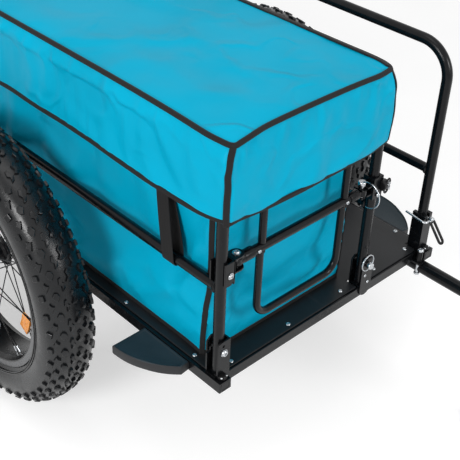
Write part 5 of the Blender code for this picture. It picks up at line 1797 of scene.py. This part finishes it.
def along_line(line, share):
    """The point at a share of the way along a line of points."""
    spot = share * (len(line) - 1)
    index = min(int(spot), len(line) - 2)
    return line[index].lerp(line[index + 1], spot - index)


def lid_edges(seam, starts):
    """The four edges of the top from its seam, as lines from rear to front and right to left."""
    width = len(seam)
    line = {}
    for number, side in enumerate(SIDES):
        start, end = starts[number], starts[(number + 1) % 4]
        count = (end - start) % width
        line[side] = [seam[(start + step) % width] for step in range(count + 1)]
    return line["right"], line["left"][::-1], line["rear"][::-1], line["front"]


def make_lid_top(seam, starts):
    """The lid's stiffened top: cloth over a board, with faint long creases and soft corners."""
    across, deep = 44, 104
    right, left, rear, front = lid_edges(seam, starts)
    top, under = [], []
    for i in range(deep + 1):
        u = i / deep
        row, below = [], []
        for j in range(across + 1):
            v = j / across
            a, b = along_line(right, u), along_line(left, u)
            c, d = along_line(rear, v), along_line(front, v)
            spot = a.lerp(b, v) + c.lerp(d, u)
            spot -= right[0].lerp(right[-1], u).lerp(left[0].lerp(left[-1], u), v)
            edge = min((spot - place).length for place in (a, b, c, d))
            rise = 1.0 - math.exp(-edge / 0.009)
            long = rough((spot.x * 0.8 + spot.y * 0.5, spot.y * 2.2 - spot.x * 0.6, 0.0), 6.0, 4.0)
            crease = 0.20 - min(
                0.20, abs(rough((spot.x + spot.y * 0.6, spot.y * 0.5, 0.0), 9.0, 8.0))
            )
            height = LID_TOP - LID_SEAM - 0.0016 + 0.0018 * long + 0.0075 * crease
            spot.z += height * rise
            row.append(spot)
            below.append(Vector((spot.x, spot.y, min(spot.z - 0.0015, 0.7245))))
        top.append(row)
        under.append(below)
    lid = Shape()
    runs = ([i * 0.010 for i in range(deep + 2)], [j * 0.008 for j in range(across + 2)])
    lid.grid(top, runs=runs)
    lid.grid([list(reversed(row)) for row in under], runs=runs)
    for column in (0, -1):
        lid.grid([[row[column] for row in top], [row[column] for row in under]])
        lid.grid([top[column], under[column]])
    lid.make("lid_cover_top", "teal_cloth", "lid", ["lid_top"], flat_above=50)


def lid_tape_section(points):
    """The edge tape's section at a share of the way round: folded over the near sides' edge, and
    wide and nearly flat on the far sides."""
    count = len(points)
    tilts = [45.0 if point[0] in ("front", "right") else 12.0 for point in points]
    widths = [0.0084 if point[0] in ("front", "right") else 0.0124 for point in points]
    for _ in range(3):
        tilts = [(tilts[i - 1] + tilts[i] + tilts[(i + 1) % count]) / 3 for i in range(count)]
        widths = [(widths[i - 1] + widths[i] + widths[(i + 1) % count]) / 3 for i in range(count)]

    def section(share):
        index = round(share * (count - 1))
        tilt, width = math.radians(tilts[index]), widths[index]
        flatness = 1.0 - tilts[index] / 45.0
        along, up = Vector(
            (math.cos(tilt), -math.sin(tilt))
        ), Vector((math.sin(tilt), math.cos(tilt)))
        shift = Vector((-0.42 * width * flatness, 0.0014 * flatness))
        return [tuple(along * a + up * b + shift) for a, b in tape(width, 0.0036)]

    return section


def make_lid():
    """The slip-over lid: its top, four sewn skirt panels, bound hems and corners, and edge tape."""
    cloth, points = lid_cloth()
    width, wall = len(points), LID_WALL
    starts = [next(i for i, point in enumerate(points) if point[0] == side) for side in SIDES]
    make_lid_top(cloth[0], starts)
    for number, side in enumerate(SIDES):
        count = (starts[(number + 1) % 4] - starts[number]) % width
        picked = [(starts[number] + step) % width for step in range(count + 1)]
        outs = [points[index][2] for index in picked]
        outer = [[row[index] for index in picked] for row in cloth]
        inner = [[place - out * wall for place, out in zip(row, outs)] for row in reversed(outer)]
        rows = outer + inner
        along = travelled([row[0] for row in rows])
        panel = Shape()
        across = [0.005 * j for j in range(count + 2)]
        start = panel.grid(rows, looped=True, runs=(along + [along[-1]], across))
        for column in (0, count):
            panel.cap([start + i * (count + 1) + column for i in range(len(rows))])
        name = f"lid_skirt_{side}"
        made = panel.make(f"{name}_panel", "teal_cloth", "lid", ["lid_skirt"], flat_above=60)
        lift = Vector((0.0, 0.0, 0.0044))
        path = [place - out * wall / 2 + lift for place, out in zip(outer[-1], outs)]
        hem = Shape()
        hem.sweep(softened(path), upended(tape(0.0096, 0.0046)), up=UPWARD)
        bound = hem.make(f"{name}_hem_tape", "webbing", "lid")
        if side in ("front", "rear"):
            bpy.context.view_layer.update()
            for piece in (made, bound):
                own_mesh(piece)
    corners = Shape()
    for index in starts:
        out = points[index][2]
        across = Vector(UPWARD).cross(out)
        path = []
        for step, row in enumerate(cloth):
            sway = rough((step * 0.17, index * 0.1, 0.0), 1.0, 5.0) * 0.0020
            path.append(row[index] + out * 0.0006 + across * sway)
        corners.sweep(softened(path), tape(0.0098, 0.0034), up=out)
    corners.make("lid_corner_tapes", "webbing", "lid")
    edge = Shape()
    lift = Vector((0.0, 0.0, 0.0006))
    loop = [spot + point[2] * 0.0002 + lift for spot, point in zip(cloth[0], points)]
    edge.sweep(loop, lid_tape_section(points), closed=True, up=UPWARD)
    edge.make("lid_top_edge_tape", "webbing", "lid")


def make_towing():
    """The drawbar with its end plug, its two bolts and a sleeve, and the coupling's ring pin."""
    bar = Shape()
    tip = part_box("drawbar")[1].x
    corners = (
        (DRAWBAR_REAR, DRAWBAR_Y, DRAWBAR_Z), (0.470, DRAWBAR_Y, DRAWBAR_Z),
        (0.690, COUPLING_Y, COUPLING_Z), (tip, COUPLING_Y, COUPLING_Z)
    )
    path = divided(bent(corners, DRAWBAR_BEND, 16), 0.12)
    bar.sweep(path, ring(DRAWBAR_RADIUS, 32), up=UPWARD)
    bar.make("drawbar_tube", COAT, FRAME, ["drawbar"])
    plug = Shape()
    plug.turn(
        [
            (0.0003, 0.0008), (0.0100, 0.0008), (0.0112, 0.0020), (0.0126, 0.0016), (0.0127, 0.0),
            (0.0003, -0.001)
        ], (DRAWBAR_REAR, DRAWBAR_Y, DRAWBAR_Z), (-1.0, 0.0, 0.0), 40, closed=False
    )
    plug.make("drawbar_end_plug", COAT, FRAME, finish=PLASTIC)
    for end, x, y, high, low in (
        ("front", *FRONT_BOLT, RAIL_BOTTOM + 0.0275, DRAWBAR_Z - DRAWBAR_RADIUS + 0.0030),
        ("rear", -0.040, 0.2625, DECK + 0.0003, DRAWBAR_Z - DRAWBAR_RADIUS - 0.0016)
    ):
        bolt = Shape()
        bolt.turn(
            [(0.0003, 0.0), (0.0036, 0.0), (0.0036, high - low), (0.0003, high - low)], (x, y, low),
            UPWARD, 20, closed=False
        )
        button_head(bolt, (x, y, high), UPWARD, 0.0060, 0.0034, 0.0062)
        nut(bolt, (x, y, low), (0.0, 0.0, -1.0), 0.0062, 0.0042)
        bolt.make(f"{end}_drawbar_bolt_and_nut", "zinc", FRAME, [f"drawbar_bolt_{end}"])
    sleeve = Shape()
    foot = RAIL_BOTTOM + 0.0043
    sleeve.turn(
        [(0.0038, 0.0), (0.0057, 0.0), (0.0057, 0.0231), (0.0038, 0.0231)], (*FRONT_BOLT, foot),
        UPWARD, 32
    )
    sleeve.make("drawbar_bolt_sleeve", COAT, FRAME, finish=PLASTIC)
    pin = Shape()
    top = COUPLING_Z + HITCH_HALF
    tail, head = (HITCH_X, COUPLING_Y, COUPLING_Z - 0.030), (HITCH_X, COUPLING_Y, top + 0.0012)
    ring_pin(pin, tail, head, (HITCH_X, COUPLING_Y + 0.010, top + 0.0202), 0.0160)
    pin.make("hitch_pin_with_ring", "zinc", "hitch_pin", ["hitch_ring_pin"])


def lamp(name, place, aim, size, power):
    """A round softbox that faces its aim."""
    light = bpy.data.lights.new(name, "AREA")
    light.shape = "DISK"
    light.size = size
    light.energy = power
    made = bpy.data.objects.new(name, light)
    made.location = place
    made.rotation_euler = (Vector(aim) - Vector(place)).to_track_quat("-Z", "Y").to_euler()
    bpy.context.scene.collection.objects.link(made)


def make_floor_finish():
    """Matt white that catches the shadow, and looks white to the camera and in reflections."""
    floor = Finish(
        "pale_studio_floor", Roughness=0.9, Specular_IOR_Level=0.0, Emission_Strength=1.0
    )
    grain = floor.noise(3.0, 2.0).ramp(0.3, 0.7)
    return floor.set(
        Base_Color=floor.mix(grain, (0.64, 0.64, 0.64), (0.66, 0.66, 0.66)),
        Emission_Color=floor.mix(floor.not_for_light(), (0.0, 0.0, 0.0), (0.46, 0.46, 0.46))
    )


def make_world():
    """Even studio light all round, with a white backdrop behind it."""
    world = bpy.data.worlds.new("studio")
    bpy.context.scene.world = world
    world.use_nodes = True
    world.node_tree.nodes.clear()
    nodes = Nodes(world.node_tree)
    white = (1.0, 1.0, 1.0, 1.0)
    soft = nodes.node("ShaderNodeBackground", {}, {"Color": white, "Strength": 0.66})
    backdrop = nodes.node("ShaderNodeBackground", {}, {"Color": white, "Strength": 1.0})
    either = nodes.node("ShaderNodeMixShader", {}, {0: nodes.not_for_light(), 1: soft, 2: backdrop})
    nodes.node("ShaderNodeOutputWorld", {}, {"Surface": either})


def make_camera():
    """The camera that takes the photograph's view."""
    data = bpy.data.cameras.new("photograph_view")
    data.lens = CAMERA_LENS
    data.sensor_width = 36.0
    data.clip_end = 100.0
    camera = bpy.data.objects.new("photograph_view", data)
    side = CAMERA_FORWARD.cross(CAMERA_UP).normalized()
    up = side.cross(CAMERA_FORWARD)
    turn = Matrix((side, up, -CAMERA_FORWARD)).transposed().to_4x4()
    camera.matrix_world = Matrix.Translation(CAMERA_PLACE) @ turn
    bpy.context.scene.collection.objects.link(camera)
    bpy.context.scene.camera = camera


def make_studio():
    """The floor, the three softboxes and the backdrop."""
    mesh = bpy.data.meshes.new("studio_floor")
    reach = 40.0
    corners = [(a * reach, b * reach, 0.0) for a, b in ((-1, -1), (1, -1), (1, 1), (-1, 1))]
    mesh.from_pydata(corners, [], [(0, 1, 2, 3)])
    mesh.materials.append(make_floor_finish())
    floor = bpy.data.objects.new("studio_floor", mesh)
    bpy.context.scene.collection.objects.link(floor)
    lamp("overhead_softbox", (-0.1, -0.2, 2.6), (-0.3, 0.0, 0.3), 1.3, 6.0)
    lamp("front_softbox", (2.2, 0.6, 1.5), (-0.2, 0.0, 0.4), 0.9, 23.0)
    lamp("side_softbox", (0.55, -2.5, 1.7), (-0.2, 0.0, 0.4), 0.9, 41.0)
    make_world()
    bpy.context.scene.view_settings.view_transform = "Standard"


def colour_setting(name, description, default):
    return bpy.props.FloatVectorProperty(
        name=name, description=description, subtype="COLOR", size=3, min=0.0, max=1.0,
        default=default
    )


class TrailerLook(bpy.types.PropertyGroup):
    """Colours and sizes that a user would change."""

    cloth_colour: colour_setting(
        "Cloth colour", "Colour of the tub and its lid", (0.0, 0.362, 0.556)
    )
    tape_colour: colour_setting(
        "Tape colour", "Colour of the binding tape and the straps", (0.0055, 0.0053, 0.0056)
    )
    frame_colour: colour_setting(
        "Frame colour", "Colour of the powder coat on tubes and brackets", (0.0030, 0.0034, 0.0042)
    )
    fold_depth: bpy.props.FloatProperty(
        name="Fold depth", description="How deep the tub's folds press in", default=0.0055, min=0.0,
        max=0.009, unit="LENGTH"
    )
    tread_height: bpy.props.FloatProperty(
        name="Tread height", description="How far the tyre's knobs stand up", default=0.0042,
        min=0.001, max=0.0044, unit="LENGTH"
    )


class TRAILER_OT_stage(bpy.types.Operator):
    """Floor, soft lamps, backdrop and the photograph's camera"""

    bl_idname = "trailer.stage"
    bl_label = "Stage"

    def execute(self, context):
        make_camera()
        make_studio()
        return {"FINISHED"}


class TRAILER_OT_bed(bpy.types.Operator):
    """Finishes of the frame, with its rail plugs, floor screws and wheel pads"""

    bl_idname = "trailer.bed"
    bl_label = "Bed"

    def execute(self, context):
        dress_all()
        make_rail_plugs()
        make_floor()
        make_guards()
        return {"FINISHED"}


class TRAILER_OT_hoops(bpy.types.Operator):
    """The three hoops with their feet, bolts, ring pins and rack pins"""

    bl_idname = "trailer.hoops"
    bl_label = "Hoops"

    def execute(self, context):
        make_hoops()
        make_post_bolts()
        make_ring_pins()
        make_rack_pins()
        return {"FINISHED"}


class TRAILER_OT_gates(bpy.types.Operator):
    """The two end gates with their rivets, hinge brackets, bolts and latch plungers"""

    bl_idname = "trailer.gates"
    bl_label = "Gates"

    def execute(self, context):
        for end, x, way in ENDS:
            make_gate(end, x, way)
            make_gate_fittings(end, x, way)
        return {"FINISHED"}


class TRAILER_OT_wheels(bpy.types.Operator):
    """Both wheels: tread, rim, crossed spokes, reflector and axle"""

    bl_idname = "trailer.wheels"
    bl_label = "Wheels"

    def execute(self, context):
        height = context.scene.trailer_look.tread_height
        for side, sign in (("right", -1), ("left", 1)):
            centre = Vector((BED_MIDDLE, sign * HALF_TRACK, GROUND_TO_AXLE))
            make_tyre(side, sign, centre, height)
            make_rim(side, centre)
            make_spokes(side, centre)
            make_reflector(side, centre)
            make_axle(side, sign)
        return {"FINISHED"}


class TRAILER_OT_tub(bpy.types.Operator):
    """The fabric tub with its binding and straps"""

    bl_idname = "trailer.tub"
    bl_label = "Fabric tub"

    def execute(self, context):
        make_tub()
        make_straps()
        return {"FINISHED"}


class TRAILER_OT_lid(bpy.types.Operator):
    """The slip-over lid: crowned top, hanging skirt and binding tape"""

    bl_idname = "trailer.lid"
    bl_label = "Lid"

    def execute(self, context):
        make_lid()
        return {"FINISHED"}


class TRAILER_OT_towing(bpy.types.Operator):
    """The drawbar with its end plug and bolts, and the hitch's ring pin"""

    bl_idname = "trailer.towing"
    bl_label = "Towing gear"

    def execute(self, context):
        make_towing()
        return {"FINISHED"}


class TRAILER_OT_edges(bpy.types.Operator):
    """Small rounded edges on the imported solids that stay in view"""

    bl_idname = "trailer.edges"
    bl_label = "Edges"

    def execute(self, context):
        soften_edges()
        return {"FINISHED"}


OPERATORS = (
    TRAILER_OT_stage, TRAILER_OT_bed, TRAILER_OT_hoops, TRAILER_OT_gates, TRAILER_OT_wheels,
    TRAILER_OT_tub, TRAILER_OT_lid, TRAILER_OT_towing, TRAILER_OT_edges
)


class TRAILER_PT_panel(bpy.types.Panel):
    """Builds the trailer piece by piece"""

    bl_idname = "TRAILER_PT_panel"
    bl_label = "Beach bike trailer"
    bl_space_type = "VIEW_3D"
    bl_region_type = "UI"
    bl_category = "Trailer"

    def draw(self, context):
        look = context.scene.trailer_look
        for name in ("cloth_colour", "tape_colour", "frame_colour", "fold_depth", "tread_height"):
            self.layout.prop(look, name)
        for operator in OPERATORS:
            self.layout.operator(operator.bl_idname)


CLASSES = (TrailerLook, *OPERATORS, TRAILER_PT_panel)


def register():
    for made in CLASSES:
        bpy.utils.register_class(made)
    bpy.types.Scene.trailer_look = bpy.props.PointerProperty(type=TrailerLook)


def unregister():
    del bpy.types.Scene.trailer_look
    for made in reversed(CLASSES):
        bpy.utils.unregister_class(made)


def main():
    register()
    bpy.ops.trailer.stage()
    bpy.ops.trailer.bed()
    bpy.ops.trailer.hoops()
    bpy.ops.trailer.gates()
    bpy.ops.trailer.wheels()
    bpy.ops.trailer.tub()
    bpy.ops.trailer.lid()
    bpy.ops.trailer.towing()
    bpy.ops.trailer.edges()


if __name__ == "__main__":
    main()
